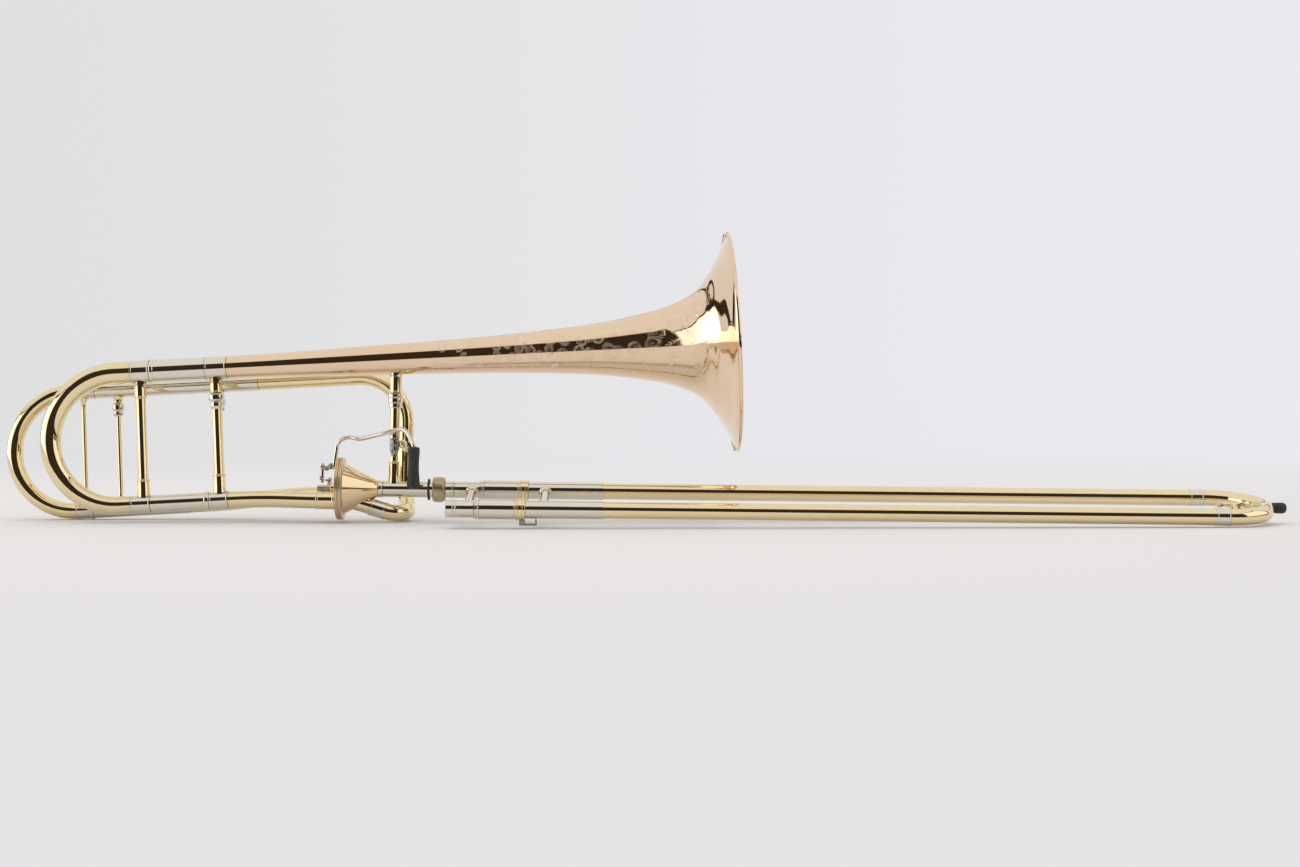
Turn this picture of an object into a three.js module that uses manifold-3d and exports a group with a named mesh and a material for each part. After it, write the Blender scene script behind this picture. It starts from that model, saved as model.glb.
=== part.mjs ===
// A tenor slide trombone with an F attachment and a conical axial-flow valve, lying on a table.
// Millimetres, +Z up. The hand slide points along +X and the bell faces +X.
// Frames are nested: the valve axis, the plane of the bell, the plane of the slide and the legs.
import * as THREE from "three";
import { mergeVertices } from "three/addons/utils/BufferGeometryUtils.js";
import Module from "manifold-3d";

const wasm = await Module();
wasm.setup();

// How the instrument lies on the table, in degrees.
const slidePitchDegrees = 0.72;
const bellLeanDegrees = 6.3;
const slideRollDegrees = 8.4;
const legRiseDegrees = 3.63;

// Clearances.
const seat = 0.3; // between two pieces that touch or are soldered
const running = 0.3; // between a tube and what slides in it, on the radius
const turning = 0.6; // between a wide round piece and the ring that turns on it, on the radius
const overrun = 4; // how far a cutter runs past what it cuts

// Main legs, along X from the centre of the main bow.
const bowCentreBehind = 464.1; // from that centre to the middle of the design frame
const bowCentreAbove = 45.1; // over the valve axis
const bowRadius = 64;
const upperLegRadius = 11.1;
const lowerLegRadius = 8.4;
const upperBowRadius = 10.9;
const tubeWall = 0.8;
const innerTubeWall = 0.6;
const ferruleRise = 0.5;
const ridgeLength = 2.2;
const beadRise = 0.9;
const upperBowStraight = 14.2;
const upperBowFerruleLength = 18;
const upperInnerLength = 51.5;
const upperBeadLength = 3.7;
const upperSleeveLength = 49.1;
const tailFerruleLength = 20.7;
const lowerBowStraight = 10.1;
const lowerBowFerruleLength = 18.7;
const lowerSleeveLength = 51.3;
const lowerBeadLength = 4.3;
const lowerFerruleLength = 17.9;
const lowerInnerLength = 52;

// Bell.
const bellLength = 490.7;
const bellMouthRadius = 108;
const bellWall = 0.6;
const rimWireRadius = 1.1;
const curlStartDegrees = -23.4;
const curlEndDegrees = 190;
// Share of the length back from the rim, and share of the mouth's radius.
const bellOutlineShares = [
  [1, 0.1019],
  [0.8045, 0.1222],
  [0.6558, 0.1398],
  [0.558, 0.1537],
  [0.4582, 0.1722],
  [0.3605, 0.1991],
  [0.2607, 0.2398],
  [0.1813, 0.2991],
  [0.1426, 0.3352],
  [0.1018, 0.4019],
  [0.0754, 0.4667],
  [0.0623, 0.5204],
  [0.0477, 0.6056],
  [0.0391, 0.6574],
  [0.0285, 0.7389],
  [0.0204, 0.8056],
  [0.00876, 0.9259],
];

// Valve: a cone on the axis of the slide's far tube.
const valvePlateX = -255.5; // back face of the plate
const valveRimRadius = 30;
const valvePlateThickness = 5.6;
const valveFlangeThickness = 2.9;
const valveConeBaseRadius = 25;
const valveConeApexRadius = 7.9;
const valveConeLength = 32.7;
const valveConeWall = 1.5;
const valveApexWall = 1.7;
const rotorGap = 0.35;
const rotorNose = 2; // from the rotor's end to the end of the cone
const portRadius = 6.9;
const passageRadius = 6;
const portCircleRadius = 15;
const portADegrees = 233;
const portBDegrees = 338.4;
const portCDegrees = 270;
const sidePortBack = 18; // from the end of the cone
const sidePortRadius = 14; // from the valve axis
const sidePortDropDegrees = 16;
const sideStubRadius = 7.6;
const sideStubLength = 9.3;
const passagePull = 13;
const sidePassagePull = 8;
const rotorShaftRadius = 2.6;
const bearingRadius = 5;
const bearingLength = 3.9;
const crankRadius = 14;
const crankRestDegrees = 37.3;
const crankThickness = 3;
const crankHubLength = 6;
const crankWidth = 5.2;
const crankPinRadius = 1.2;
const crankPinLength = 3;

// Link and thumb lever.
const linkThickness = 2.6;
const linkWidth = 3;
const linkEyeRadius = 3.6;
const linkTipRadius = 2.6;
const leverReach = 11.1; // how far the lever's end stands off the valve axis at rest
const leverEndDrop = 2.4; // behind the plate
const leverEndHeight = 21;
const leverTopHeight = 57.4;
const leverRodRadius = 1.65;
const leverBendRadius = 2.2;
const leverStudEnd = 0.6; // past the link
const linkPlay = 0.85; // round the stud, so that the lever can swing in the eye
const linkClearance = 1.5; // from the crank's pin to the link
const leverGripBehind = 178; // from the middle of the design frame
const leverGripSide = 24.5;
const leverGripTop = 39;
const leverGripLength = 39.7;
const leverGripRadius = 6.2;
const leverGripSocket = 19;
const leverCollarRadius = 5.9;
const leverCollarLength = 9.3;
// Along the lever from its end to its grip: shares of its length, of its sideways run and of its height.
const leverRunShares = [
  [0, 0, 0.22],
  [0.02, 0.003, 0.45],
  [0.032, 0.015, 0.61],
  [0.085, 0.055, 0.758],
  [0.165, 0.1, 0.805],
  [0.22, 0.13, 0.76],
  [0.287, 0.19, 0.703],
  [0.38, 0.26, 0.753],
  [0.5, 0.37, 0.825],
  [0.622, 0.47, 0.893],
  [0.757, 0.54, 0.975],
  [0.838, 0.607, 0.992],
  [0.893, 0.72, 0.915],
  [0.945, 0.86, 0.745],
  [0.985, 0.98, 0.58],
  [1, 1, 0.5],
];

// Receiver and the nut that holds the slide section.
const receiverFerruleRadius = 8.5;
const receiverFerruleLength = 4.7;
const receiverRadius = 7.7;
const receiverBore = 7;
const receiverLength = 45;
const washerRadius = 10.4;
const washerThickness = 2;
const washerBack = 2.6; // how far the washer lies behind the tube's end
const threadRadius = 9;
const threadLength = 3.6;
const slideNutRadius = 12;
const slideNutShoulderShare = 0.82;
const slideNutLength = 13.8;
const slideNutChamfer = 2.6;
const slideNutFace = 5.2;
const slideNutGap = 1; // how far the nut starts before the thread
const tenonRadius = 6.5;
const tenonDepth = 22; // how far the tenon reaches into the receiver
const tenonBore = 5.9;
const tenonCollarRadius = 8.3;
const tenonCollarLength = 2.8;
const tenonTubeRadius = 7.1;
const tenonTubeLength = 8;
const tenonRingRadius = 7.9;
const tenonRingLength = 3;

// F attachment, beside the bell's own tubes, from the centre of the main bow.
const fOffset = 45.5;
const fUpperHeight = 53.3;
const fLowerHeight = 64.2;
const fBowBehind = 53.7;
const fTubeRadius = 7.8;
const fSleeveRadius = 8.1;
const fInnerRadius = 7.2;
const fUpperBowStraight = 14.8;
const fUpperFerruleLength = 6.7;
const fFerruleRadius = 8.5;
const fBeadRadius = 9.1;
const fUpperInnerLength = 91.9;
const fUpperSleeveLength = 160.3;
const fLowerFerruleLength = 14.3;
const fLowerBeadLength = 2.8;
const fLowerInnerLength = 76.3;
const fLowerSleeveLength = 93;
const fLowerStraight = 8;
const fLowerPull = 60;
const fBendRadius = 45;
const crookFerruleRadius = 8.6;
const crookFerruleLength = 15.4;
const crookPull = 12;
const crookSide = 20; // where it starts to rise
const crookDip = 20; // under the valve axis there
const crookTop = 10;
const crookRiseDegrees = 10;
const downTubeBehind = 193; // from the middle of the design frame
const goosePull = 42;
const gooseRadius = 8.15;
const gooseWall = 1;

// Braces.
const braceRadius = 4.15;
const braceWall = 0.9;
const braceSocketRadius = 5.4;
const braceSaddleRadius = 6.3;
const braceSaddleLength = 2;
const braceTopSocketLength = 12.8;
const braceLowSocketLength = 15;
const braceNutRadius = 6.1;
const braceNutLength = 15.2;
const braceThreadLength = 7;
const bowBracePlace = 21.5;
const bodyBracePlace = 95;
const bellBraceBehind = 199;
const bellNutRadius = 7.3;
const bellNutLength = 14.2;
const bellSocketBottom = 92.7;
const bellJointTop = 48.3;
const bellJointLength = 11.6;
const bellJointRadius = 6.3;
const bellFootDome = 5.7;
const bellFootSocketTop = 26.7;
const stayRadius = 2.6;
const stayFlangeRadius = 5.5;
const stayFlangeLength = 2;
const stayBack = 2; // along X from the brace to the stay
const thinBraceRadius = 1.85;
const thinFootRadius = 3.4;
const thinFootLength = 8;
const thinSocketLength = 5;
const thinNutRadius = 6;
const thinNutLength = 13.6;
const rearBraceRadius = 2.4;
const fBowBraceBack = 44;
const fBodyBraceBack = 10;
const fRearBracePlace = 91;

// Hand slide, along the valve axis.
const slideSpacing = 86;
const outerTubeRadius = 7.8;
const outerTubeBore = 7.52;
const innerTubeRadius = 7.2;
const innerTubeBore = 6.95;
const innerTubeShort = 10.5; // how far it ends before the outer tube
const barrelRadius = 8.95;
const barrelBore = 8.1;
const barrelBehind = 116.2; // its start, from the middle of the design frame
const barrelLength = 43.7;
const barrelFloor = 3;
const slideRingBehind = 78;
const slideRingLength = 9;
const slideRingRadius = 10.3;
const slideRingWaistRadius = 9.9;
const outerSleeveRadius = 8.2;
const outerSleeveLength = 72.2;
const outerSleeveStart = 68.7;
const brassTubeLength = 570;
const slideFerruleRadius = 8.3;
const slideFerruleLength = 13;
const slideBowStraight = 3.2;
const slideBowWall = 0.8;
const farRingRadius = 8.9;
const farRingLength = 5;
const mouthpieceEndBehind = 142.6;
const mouthpieceRadius = 7.1;
const mouthpieceLipRadius = 7.5;
const mouthpieceBore = 6.2;
const mouthpieceNarrowBore = 5.7;
const innerBraceBehind = 123;
const handBraceBehind = 52.5;
const slideBraceRadius = 4.1;
const slideBraceWall = 0.8;
const slideFlangeRadius = 6;
const slideFlangeLength = 1.8;
const bumperRadius = 5.4;
const bumperLength = 13;
const bumperEndShare = 0.85;

// Slide lock: a hook on the near ring that turns over a stud on the outer slide.
const lockReach = 15.2;
const lockArmThickness = 1.7;
const lockWidth = 3.2;
const lockRootLength = 5.5;
const lockRun = 11;
const lockFingerLength = 1.9;
const lockFingerFoot = 9.3;
const lockDegrees = 35;
const lockStudRadius = 1.2;
const lockStudTop = 12;
const lockStudBehind = 63.4;

// Water key, inside the slide bow.
const keyPivotPast = 5.5; // past the bow's ferrule
const keyTiltDegrees = 38; // up round the near tube
const keyPivotHeight = 12.2; // from the near tube's axis
const keyBarrelRadius = 2;
const keyBarrelLength = 8;
const keyPinRadius = 0.9;
const keyEarLength = 3;
const keyEarThickness = 1.2;
const keyEarFoot = 5.7;
const keyBarThickness = 1.8;
const keyBarWidth = 4;
const keyPadReach = 11;
const keyPadRadius = 3.4;
const keyCupReach = 9;
const keyCupRadius = 4;
const keyCorkRadius = 3.2;
const keyCorkThickness = 2.2;
const keyNippleRadius = 2.8;
const keyNippleBore = 1.6;
const keyNippleHeight = 11.2;

// Counts.
const tubeSides = 12;
const rodSides = 8;
const bellSides = 28;
const bellSteps = 15;
const curlSteps = 4;
const bowSteps = 8;
const bendSteps = 5;
const sweepSteps = 5;
const cornerSteps = 3;
const ridgeCount = 8;
const ridgeShare = 0.94;
const wireSides = 6;
const bowGrowthShare = 1.3; // how late the bow widens
const grooveShare = 0.82;
const nutNeckShare = 0.74;
const nutStepShare = 0.85;
const jointEdgeShare = 0.9;
const footFlareShare = 1.35;


const radians = THREE.MathUtils.degToRad;
const at = (x, y, z) => new THREE.Vector3(x, y, z);
const mergeTolerance = 1e-4;
const eastward = at(1, 0, 0);
const northward = at(0, 1, 0);
const upward = at(0, 0, 1);

// Finishes.
const finishes = {
  roseBrass: { color: 0xe2b48c, metalness: 1, roughness: 0.12 },
  brass: { color: 0xe6cc8a, metalness: 1, roughness: 0.12 },
  nickel: { color: 0xd8d2c4, metalness: 1, roughness: 0.15 },
  satinBrass: { color: 0xb8a468, metalness: 1, roughness: 0.4 },
  darkNickel: { color: 0x8f8f88, metalness: 1, roughness: 0.3 },
  steel: { color: 0x9a9a98, metalness: 1, roughness: 0.3 },
  rubber: { color: 0x1e1f20, metalness: 0, roughness: 0.6 },
  cork: { color: 0xb88a58, metalness: 0, roughness: 0.9 },
};

// The faces of a geometry as a solid that points outwards.
function solidOf(geometry) {
  const bare = geometry.clone();
  bare.deleteAttribute("normal");
  bare.deleteAttribute("uv");
  const merged = mergeVertices(bare, mergeTolerance);
  const vertProperties = new Float32Array(merged.attributes.position.array);
  const triVerts = new Uint32Array(merged.index.array);
  const solid = new wasm.Manifold(new wasm.Mesh({ numProp: 3, vertProperties, triVerts }));
  if (solid.volume() >= 0) return solid;
  triVerts.reverse();
  return new wasm.Manifold(new wasm.Mesh({ numProp: 3, vertProperties, triVerts }));
}

function geometryOf(solid) {
  const mesh = solid.getMesh();
  const places = new Float32Array(mesh.numVert * 3);
  for (let i = 0; i < mesh.numVert; i++) {
    places.set(mesh.vertProperties.subarray(i * mesh.numProp, i * mesh.numProp + 3), i * 3);
  }
  const geometry = new THREE.BufferGeometry();
  geometry.setAttribute("position", new THREE.BufferAttribute(places, 3));
  geometry.setIndex(new THREE.BufferAttribute(mesh.triVerts, 1));
  return geometry;
}

// Adds one named piece to a group. The shape is a solid or a geometry in the group's frame.
function addPiece(group, name, finish, shape) {
  const solid = shape.isBufferGeometry ? solidOf(shape) : shape;
  const geometry = geometryOf(solid);
  geometry.computeVertexNormals();
  const mesh = new THREE.Mesh(geometry, new THREE.MeshStandardMaterial(finishes[finish]));
  mesh.name = name;
  group.add(mesh);
  return mesh;
}

// A turned piece along +X from a closed run of [place along the axis, radius].
function turned(profile, sides = tubeSides) {
  const points = profile.map(([along, radius]) => new THREE.Vector2(radius, along));
  return new THREE.LatheGeometry(points, sides).rotateZ(-Math.PI / 2);
}

// A bored piece along +X: its outline as [along, radius] and one bore radius.
function sleeve(outline, bore, sides = tubeSides) {
  const [first, last] = [outline[0], outline[outline.length - 1]];
  return turned([[first[0], bore], ...outline, [last[0], bore], [first[0], bore]], sides);
}

// A solid piece along +X from its outline.
function solidTurned(outline, sides = tubeSides) {
  const [first, last] = [outline[0], outline[outline.length - 1]];
  return turned([[first[0], 0], ...outline, [last[0], 0]], sides);
}

const pipe = (start, end, radius, bore, sides = tubeSides) =>
  sleeve([[start, radius], [end, radius]], bore, sides);
const rod = (start, end, radius, sides = rodSides) =>
  solidTurned([[start, radius], [end, radius]], sides);
const upright = (geometry) => geometry.rotateY(-Math.PI / 2);
const across = (geometry) => geometry.rotateZ(Math.PI / 2);

// A ferrule's outline: a plain band with a raised ridge at each end.
const banded = (start, end, radius) => [
  [start, radius + ferruleRise],
  [start + ridgeLength, radius + ferruleRise],
  [start + ridgeLength, radius],
  [end - ridgeLength, radius],
  [end - ridgeLength, radius + ferruleRise],
  [end, radius + ferruleRise],
];

// Draws every second edge of a turned piece's outside towards its axis, for a ridged nut.
function ridged(outline, bore, ridges = ridgeCount) {
  const geometry = sleeve(outline, bore, ridges * 2);
  const places = geometry.attributes.position;
  for (let i = 0; i < places.count; i++) {
    const [y, z] = [places.getY(i), places.getZ(i)];
    const edge = Math.round((Math.atan2(z, y) / Math.PI) * ridges + ridges * 4);
    if (edge % 2 && Math.hypot(y, z) > bore + mergeTolerance) {
      places.setY(i, y * ridgeShare);
      places.setZ(i, z * ridgeShare);
    }
  }
  return geometry;
}

const boxAt = (low, high) =>
  new THREE.BoxGeometry(high.x - low.x, high.y - low.y, high.z - low.z).translate(
    (low.x + high.x) / 2,
    (low.y + high.y) / 2,
    (low.z + high.z) / 2,
  );

// Stations along a route: each is a place and a direction.
class Route {
  constructor(place, direction) {
    this.place = place.clone();
    this.direction = direction.clone().normalize();
    this.stations = [];
    this.mark();
  }

  mark() {
    this.stations.push({ place: this.place.clone(), direction: this.direction.clone() });
    return this;
  }

  straight(length) {
    this.place.addScaledVector(this.direction, length);
    return this.mark();
  }

  bend(radius, degrees, axis, steps) {
    const turn = radians(degrees) / steps;
    const inward = axis.clone().cross(this.direction).normalize().multiplyScalar(Math.sign(degrees));
    const centre = this.place.clone().addScaledVector(inward, radius);
    for (let i = 0; i < steps; i++) {
      this.place.sub(centre).applyAxisAngle(axis, turn).add(centre);
      this.direction.applyAxisAngle(axis, turn);
      this.mark();
    }
    return this;
  }

  // A smooth run to a new place and direction.
  sweep(place, direction, pull, steps) {
    const curve = new THREE.CubicBezierCurve3(
      this.place.clone(),
      this.place.clone().addScaledVector(this.direction, pull),
      place.clone().addScaledVector(direction, -pull),
      place.clone(),
    );
    for (let i = 1; i <= steps; i++) {
      this.place.copy(curve.getPoint(i / steps));
      this.direction.copy(curve.getTangent(i / steps));
      this.mark();
    }
    return this;
  }

  // A smooth run through given places.
  through(places, steps) {
    const curve = new THREE.CatmullRomCurve3([this.place.clone(), ...places]);
    for (let i = 1; i <= steps; i++) {
      this.place.copy(curve.getPoint(i / steps));
      this.direction.copy(curve.getTangent(i / steps));
      this.mark();
    }
    return this;
  }
}

// A tube along stations, or a rod where no bore is given. radiusAt takes a share of the length.
function loft(stations, radiusAt, boreAt = null, sides = tubeSides) {
  const lengths = [0];
  for (let i = 1; i < stations.length; i++) {
    lengths.push(lengths[i - 1] + stations[i].place.distanceTo(stations[i - 1].place));
  }
  const total = lengths[lengths.length - 1];
  const first = stations[0].direction;
  const reference = Math.abs(first.dot(upward)) < Math.SQRT1_2 ? upward : northward;
  const side = reference.clone().cross(first).normalize();
  const frames = stations.map((station, i) => {
    if (i) {
      const before = stations[i - 1].direction;
      side.applyQuaternion(new THREE.Quaternion().setFromUnitVectors(before, station.direction));
    }
    side.addScaledVector(station.direction, -side.dot(station.direction)).normalize();
    return { side: side.clone(), up: station.direction.clone().cross(side) };
  });
  const places = [];
  const ring = (i, radius) => {
    const start = places.length / 3;
    for (let k = 0; k < sides; k++) {
      const angle = (2 * Math.PI * k) / sides;
      const point = stations[i].place
        .clone()
        .addScaledVector(frames[i].side, radius * Math.cos(angle))
        .addScaledVector(frames[i].up, radius * Math.sin(angle));
      places.push(point.x, point.y, point.z);
    }
    return start;
  };
  const faces = [];
  const band = (a, b) => {
    for (let k = 0; k < sides; k++) {
      const next = (k + 1) % sides;
      faces.push(a + k, a + next, b + next, a + k, b + next, b + k);
    }
  };
  const outer = stations.map((_, i) => ring(i, radiusAt(lengths[i] / total)));
  for (let i = 1; i < outer.length; i++) band(outer[i - 1], outer[i]);
  const last = stations.length - 1;
  if (boreAt) {
    const inner = stations.map((_, i) => ring(i, boreAt(lengths[i] / total)));
    for (let i = 1; i < inner.length; i++) band(inner[i], inner[i - 1]);
    band(inner[0], outer[0]);
    band(outer[last], inner[last]);
  } else {
    const cap = (i, start, turnedOver) => {
      const middle = places.length / 3;
      places.push(stations[i].place.x, stations[i].place.y, stations[i].place.z);
      for (let k = 0; k < sides; k++) {
        const next = (k + 1) % sides;
        const [a, b] = turnedOver ? [k, next] : [next, k];
        faces.push(middle, start + a, start + b);
      }
    };
    cap(0, outer[0], false);
    cap(last, outer[last], true);
  }
  const geometry = new THREE.BufferGeometry();
  geometry.setAttribute("position", new THREE.BufferAttribute(new Float32Array(places), 3));
  geometry.setIndex(faces);
  return geometry;
}

const even = (radius) => () => radius;
const tubeOf = (route, radius, bore, sides) => loft(route.stations, even(radius), even(bore), sides);
const rodOf = (route, radius, sides = rodSides) => loft(route.stations, even(radius), null, sides);

// The groups, each turned in its parent.
const part = new THREE.Group();
const design = new THREE.Group();
design.rotation.y = radians(slidePitchDegrees);
part.add(design);
const bellPlane = new THREE.Group();
bellPlane.rotation.x = -radians(bellLeanDegrees);
design.add(bellPlane);
const slidePlane = new THREE.Group();
slidePlane.rotation.x = radians(slideRollDegrees);
design.add(slidePlane);
const legs = new THREE.Group();
legs.position.set(-bowCentreBehind, 0, bowCentreAbove);
legs.rotation.y = -radians(legRiseDegrees);
legs.updateMatrix();
bellPlane.add(legs);
const onLegs = (x, y, z) => at(x, y, z).applyMatrix4(legs.matrix);
const legDirection = eastward.clone().transformDirection(legs.matrix);

// Main tuning slide and the outer tubes that it runs in.
const upperInnerRadius = upperLegRadius - tubeWall - running + seat / 2;
const upperSleeveBore = upperInnerRadius + running;
const lowerSleeveBore = lowerLegRadius - tubeWall;
const lowerInnerRadius = lowerSleeveBore - running;
const upperFerruleStart = upperBowStraight + seat;
const upperFerruleEnd = upperFerruleStart + upperBowFerruleLength;
const lowerFerruleStart = lowerBowStraight + seat;
const lowerFerruleEnd = lowerFerruleStart + lowerBowFerruleLength;
const lift = (geometry, height, side = 0) => geometry.translate(0, side, height);
{
  const bow = new Route(at(lowerBowStraight, 0, -bowRadius), at(-1, 0, 0))
    .straight(lowerBowStraight)
    .bend(bowRadius, 180, northward, bowSteps)
    .straight(upperBowStraight);
  const growth = (share) => lowerLegRadius + (upperBowRadius - lowerLegRadius) * share ** bowGrowthShare;
  addPiece(legs, "main_bow", "brass", loft(bow.stations, growth, (s) => growth(s) - tubeWall));
  const upperLeg = [
    ...banded(upperFerruleStart, upperFerruleEnd, upperLegRadius),
    [upperFerruleEnd, upperInnerRadius],
    [upperFerruleEnd + upperInnerLength, upperInnerRadius],
  ];
  const upperLegShape = sleeve(upperLeg, upperInnerRadius - innerTubeWall);
  addPiece(legs, "bow_upper_leg", "nickel", lift(upperLegShape, bowRadius));
  const lowerFerrule = sleeve(banded(lowerFerruleStart, lowerFerruleEnd, lowerLegRadius), lowerSleeveBore);
  addPiece(legs, "bow_lower_ferrule", "nickel", lift(lowerFerrule, -bowRadius));
}
const upperBeadStart = upperFerruleEnd + seat;
const upperSleeveStart = upperBeadStart + upperBeadLength;
const upperSleeveEnd = upperSleeveStart + upperSleeveLength;
const lowerSleeveStart = lowerFerruleEnd + seat;
const lowerBeadStart = lowerSleeveStart + lowerSleeveLength;
const lowerSleeveEnd = lowerBeadStart + lowerBeadLength;
const bead = (start, end, radius) => [
  [start, radius + ferruleRise],
  [start + (end - start) / 4, radius + beadRise],
  [end - (end - start) / 4, radius + beadRise],
  [end, radius + ferruleRise],
];
{
  const outline = [
    ...bead(upperBeadStart, upperSleeveStart, upperLegRadius),
    [upperSleeveStart, upperLegRadius],
    [upperSleeveEnd, upperLegRadius],
  ];
  addPiece(legs, "upper_outer_sleeve", "nickel", lift(sleeve(outline, upperSleeveBore), bowRadius));
  const moving = [
    [lowerSleeveStart, lowerLegRadius],
    [lowerBeadStart, lowerLegRadius],
    ...bead(lowerBeadStart, lowerSleeveEnd, lowerLegRadius),
  ];
  addPiece(legs, "bow_lower_sleeve", "nickel", lift(sleeve(moving, lowerSleeveBore), -bowRadius));
}
const tailFerruleStart = upperSleeveEnd + seat;
const bellTailStart = tailFerruleStart + tailFerruleLength + seat;
const lowerFixedStart = lowerSleeveEnd + seat;
const lowerFixedEnd = lowerFixedStart + lowerFerruleLength;
{
  const tail = sleeve(banded(tailFerruleStart, bellTailStart - seat, upperLegRadius), upperSleeveBore);
  addPiece(legs, "bell_tail_ferrule", "nickel", lift(tail, bowRadius));
  const fixed = [
    [lowerFixedStart - lowerInnerLength, lowerInnerRadius],
    [lowerFixedStart, lowerInnerRadius],
    ...banded(lowerFixedStart, lowerFixedEnd, lowerLegRadius),
  ];
  const shape = sleeve(fixed, lowerInnerRadius - innerTubeWall);
  addPiece(legs, "lower_leg_tube", "nickel", lift(shape, -bowRadius));
}

// Bell: a thin flare whose edge curls back round a wire.
const bellRim = bellTailStart + bellLength;
const curlInner = rimWireRadius + seat;
const curlOuter = curlInner + bellWall;
const curlCentre = new THREE.Vector2(bellRim - curlOuter, bellMouthRadius - curlOuter);
{
  const curlPoint = (degrees, radius) =>
    new THREE.Vector2(Math.cos(radians(degrees)), Math.sin(radians(degrees)))
      .multiplyScalar(radius)
      .add(curlCentre);
  const arc = (radius) =>
    Array.from({ length: curlSteps + 1 }, (_, i) =>
      curlPoint(curlStartDegrees + ((curlEndDegrees - curlStartDegrees) * i) / curlSteps, radius),
    );
  const knots = bellOutlineShares.map(
    ([back, width]) => new THREE.Vector2(bellRim - back * bellLength, width * bellMouthRadius),
  );
  const back = new THREE.SplineCurve([...knots, curlPoint(curlStartDegrees, curlInner)]).getPoints(bellSteps);
  const front = back.map((point, i) => {
    const along = back[Math.min(i + 1, back.length - 1)].clone().sub(back[Math.max(i - 1, 0)]);
    return point.clone().add(new THREE.Vector2(along.y, -along.x).setLength(bellWall));
  });
  front.pop();
  const outline = [...back, ...arc(curlInner).slice(1), ...arc(curlOuter).reverse(), ...front.reverse()];
  outline.push(outline[0].clone());
  const bell = turned(outline.map((p) => [p.x, p.y]), bellSides);
  addPiece(legs, "bell", "roseBrass", lift(bell, bowRadius));
  const wire = new THREE.TorusGeometry(curlCentre.y, rimWireRadius, wireSides, bellSides)
    .rotateY(Math.PI / 2)
    .translate(curlCentre.x, 0, bowRadius);
  addPiece(legs, "bell_rim_wire", "brass", wire);
}

// Valve.
const flangeStart = valvePlateX + valvePlateThickness + seat;
const coneStart = flangeStart + valveFlangeThickness;
const coneEnd = coneStart + valveConeLength;
const coneSlope = (valveConeApexRadius - valveConeBaseRadius) / valveConeLength;
const coneRadius = (x) => valveConeBaseRadius + (x - coneStart) * coneSlope;
const portPlace = (degrees, x, circle = portCircleRadius) =>
  at(x, circle * Math.cos(radians(degrees)), circle * Math.sin(radians(degrees)));
const sidePortX = coneEnd - sidePortBack;
const sidePortDirection = (degrees) => {
  const outward = Math.sin(radians(sidePortDropDegrees));
  const turn = radians(degrees);
  return at(Math.cos(radians(sidePortDropDegrees)), outward * Math.cos(turn), outward * Math.sin(turn));
};
const sidePort = portPlace(portCDegrees, sidePortX, sidePortRadius);
const stubDirection = sidePortDirection(portCDegrees);
{
  const alongStub = (length) => sidePort.clone().addScaledVector(stubDirection, length);
  const shell = solidOf(
    solidTurned(
      [
        [flangeStart, valveRimRadius],
        [coneStart, valveRimRadius],
        [coneStart, valveConeBaseRadius],
        [coneEnd, valveConeApexRadius],
      ],
      tubeSides * 2,
    ),
  );
  const stub = solidOf(rodOf(new Route(sidePort, stubDirection).straight(sideStubLength), sideStubRadius, tubeSides));
  const hole = new Route(alongStub(-overrun), stubDirection).straight(sideStubLength + overrun * 2);
  const cavityEnd = coneEnd - valveApexWall;
  const cavity = solidTurned(
    [
      [flangeStart - overrun, coneRadius(flangeStart - overrun) - valveConeWall],
      [cavityEnd, coneRadius(cavityEnd) - valveConeWall],
    ],
    tubeSides * 2,
  );
  const mouth = rod(cavityEnd - overrun, coneEnd + overrun, passageRadius, tubeSides);
  const casing = shell
    .add(stub)
    .subtract(solidOf(cavity))
    .subtract(solidOf(mouth))
    .subtract(solidOf(rodOf(hole, passageRadius, tubeSides)));
  addPiece(bellPlane, "valve_casing", "brass", casing);
  const plateEnd = valvePlateX + valvePlateThickness;
  const plateEdge = valvePlateThickness / 4;
  let plate = solidOf(
    solidTurned(
      [
        [valvePlateX, valveRimRadius - plateEdge],
        [valvePlateX + plateEdge, valveRimRadius],
        [plateEnd, valveRimRadius],
      ],
      tubeSides * 2,
    ),
  );
  plate = plate.subtract(solidOf(rod(valvePlateX - overrun, plateEnd + overrun, rotorShaftRadius + running)));
  for (const degrees of [portADegrees, portBDegrees]) {
    const place = portPlace(degrees, valvePlateX - overrun);
    const drill = new Route(place, eastward).straight(valvePlateThickness + overrun * 2);
    plate = plate.subtract(solidOf(rodOf(drill, portRadius, tubeSides)));
  }
  addPiece(bellPlane, "valve_back_plate", "brass", plate);
}
const plateBack = valvePlateX - seat;
const bearingEnd = plateBack - bearingLength;
addPiece(
  bellPlane,
  "rear_bearing",
  "brass",
  pipe(bearingEnd, plateBack, bearingRadius, rotorShaftRadius + running),
);

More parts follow.
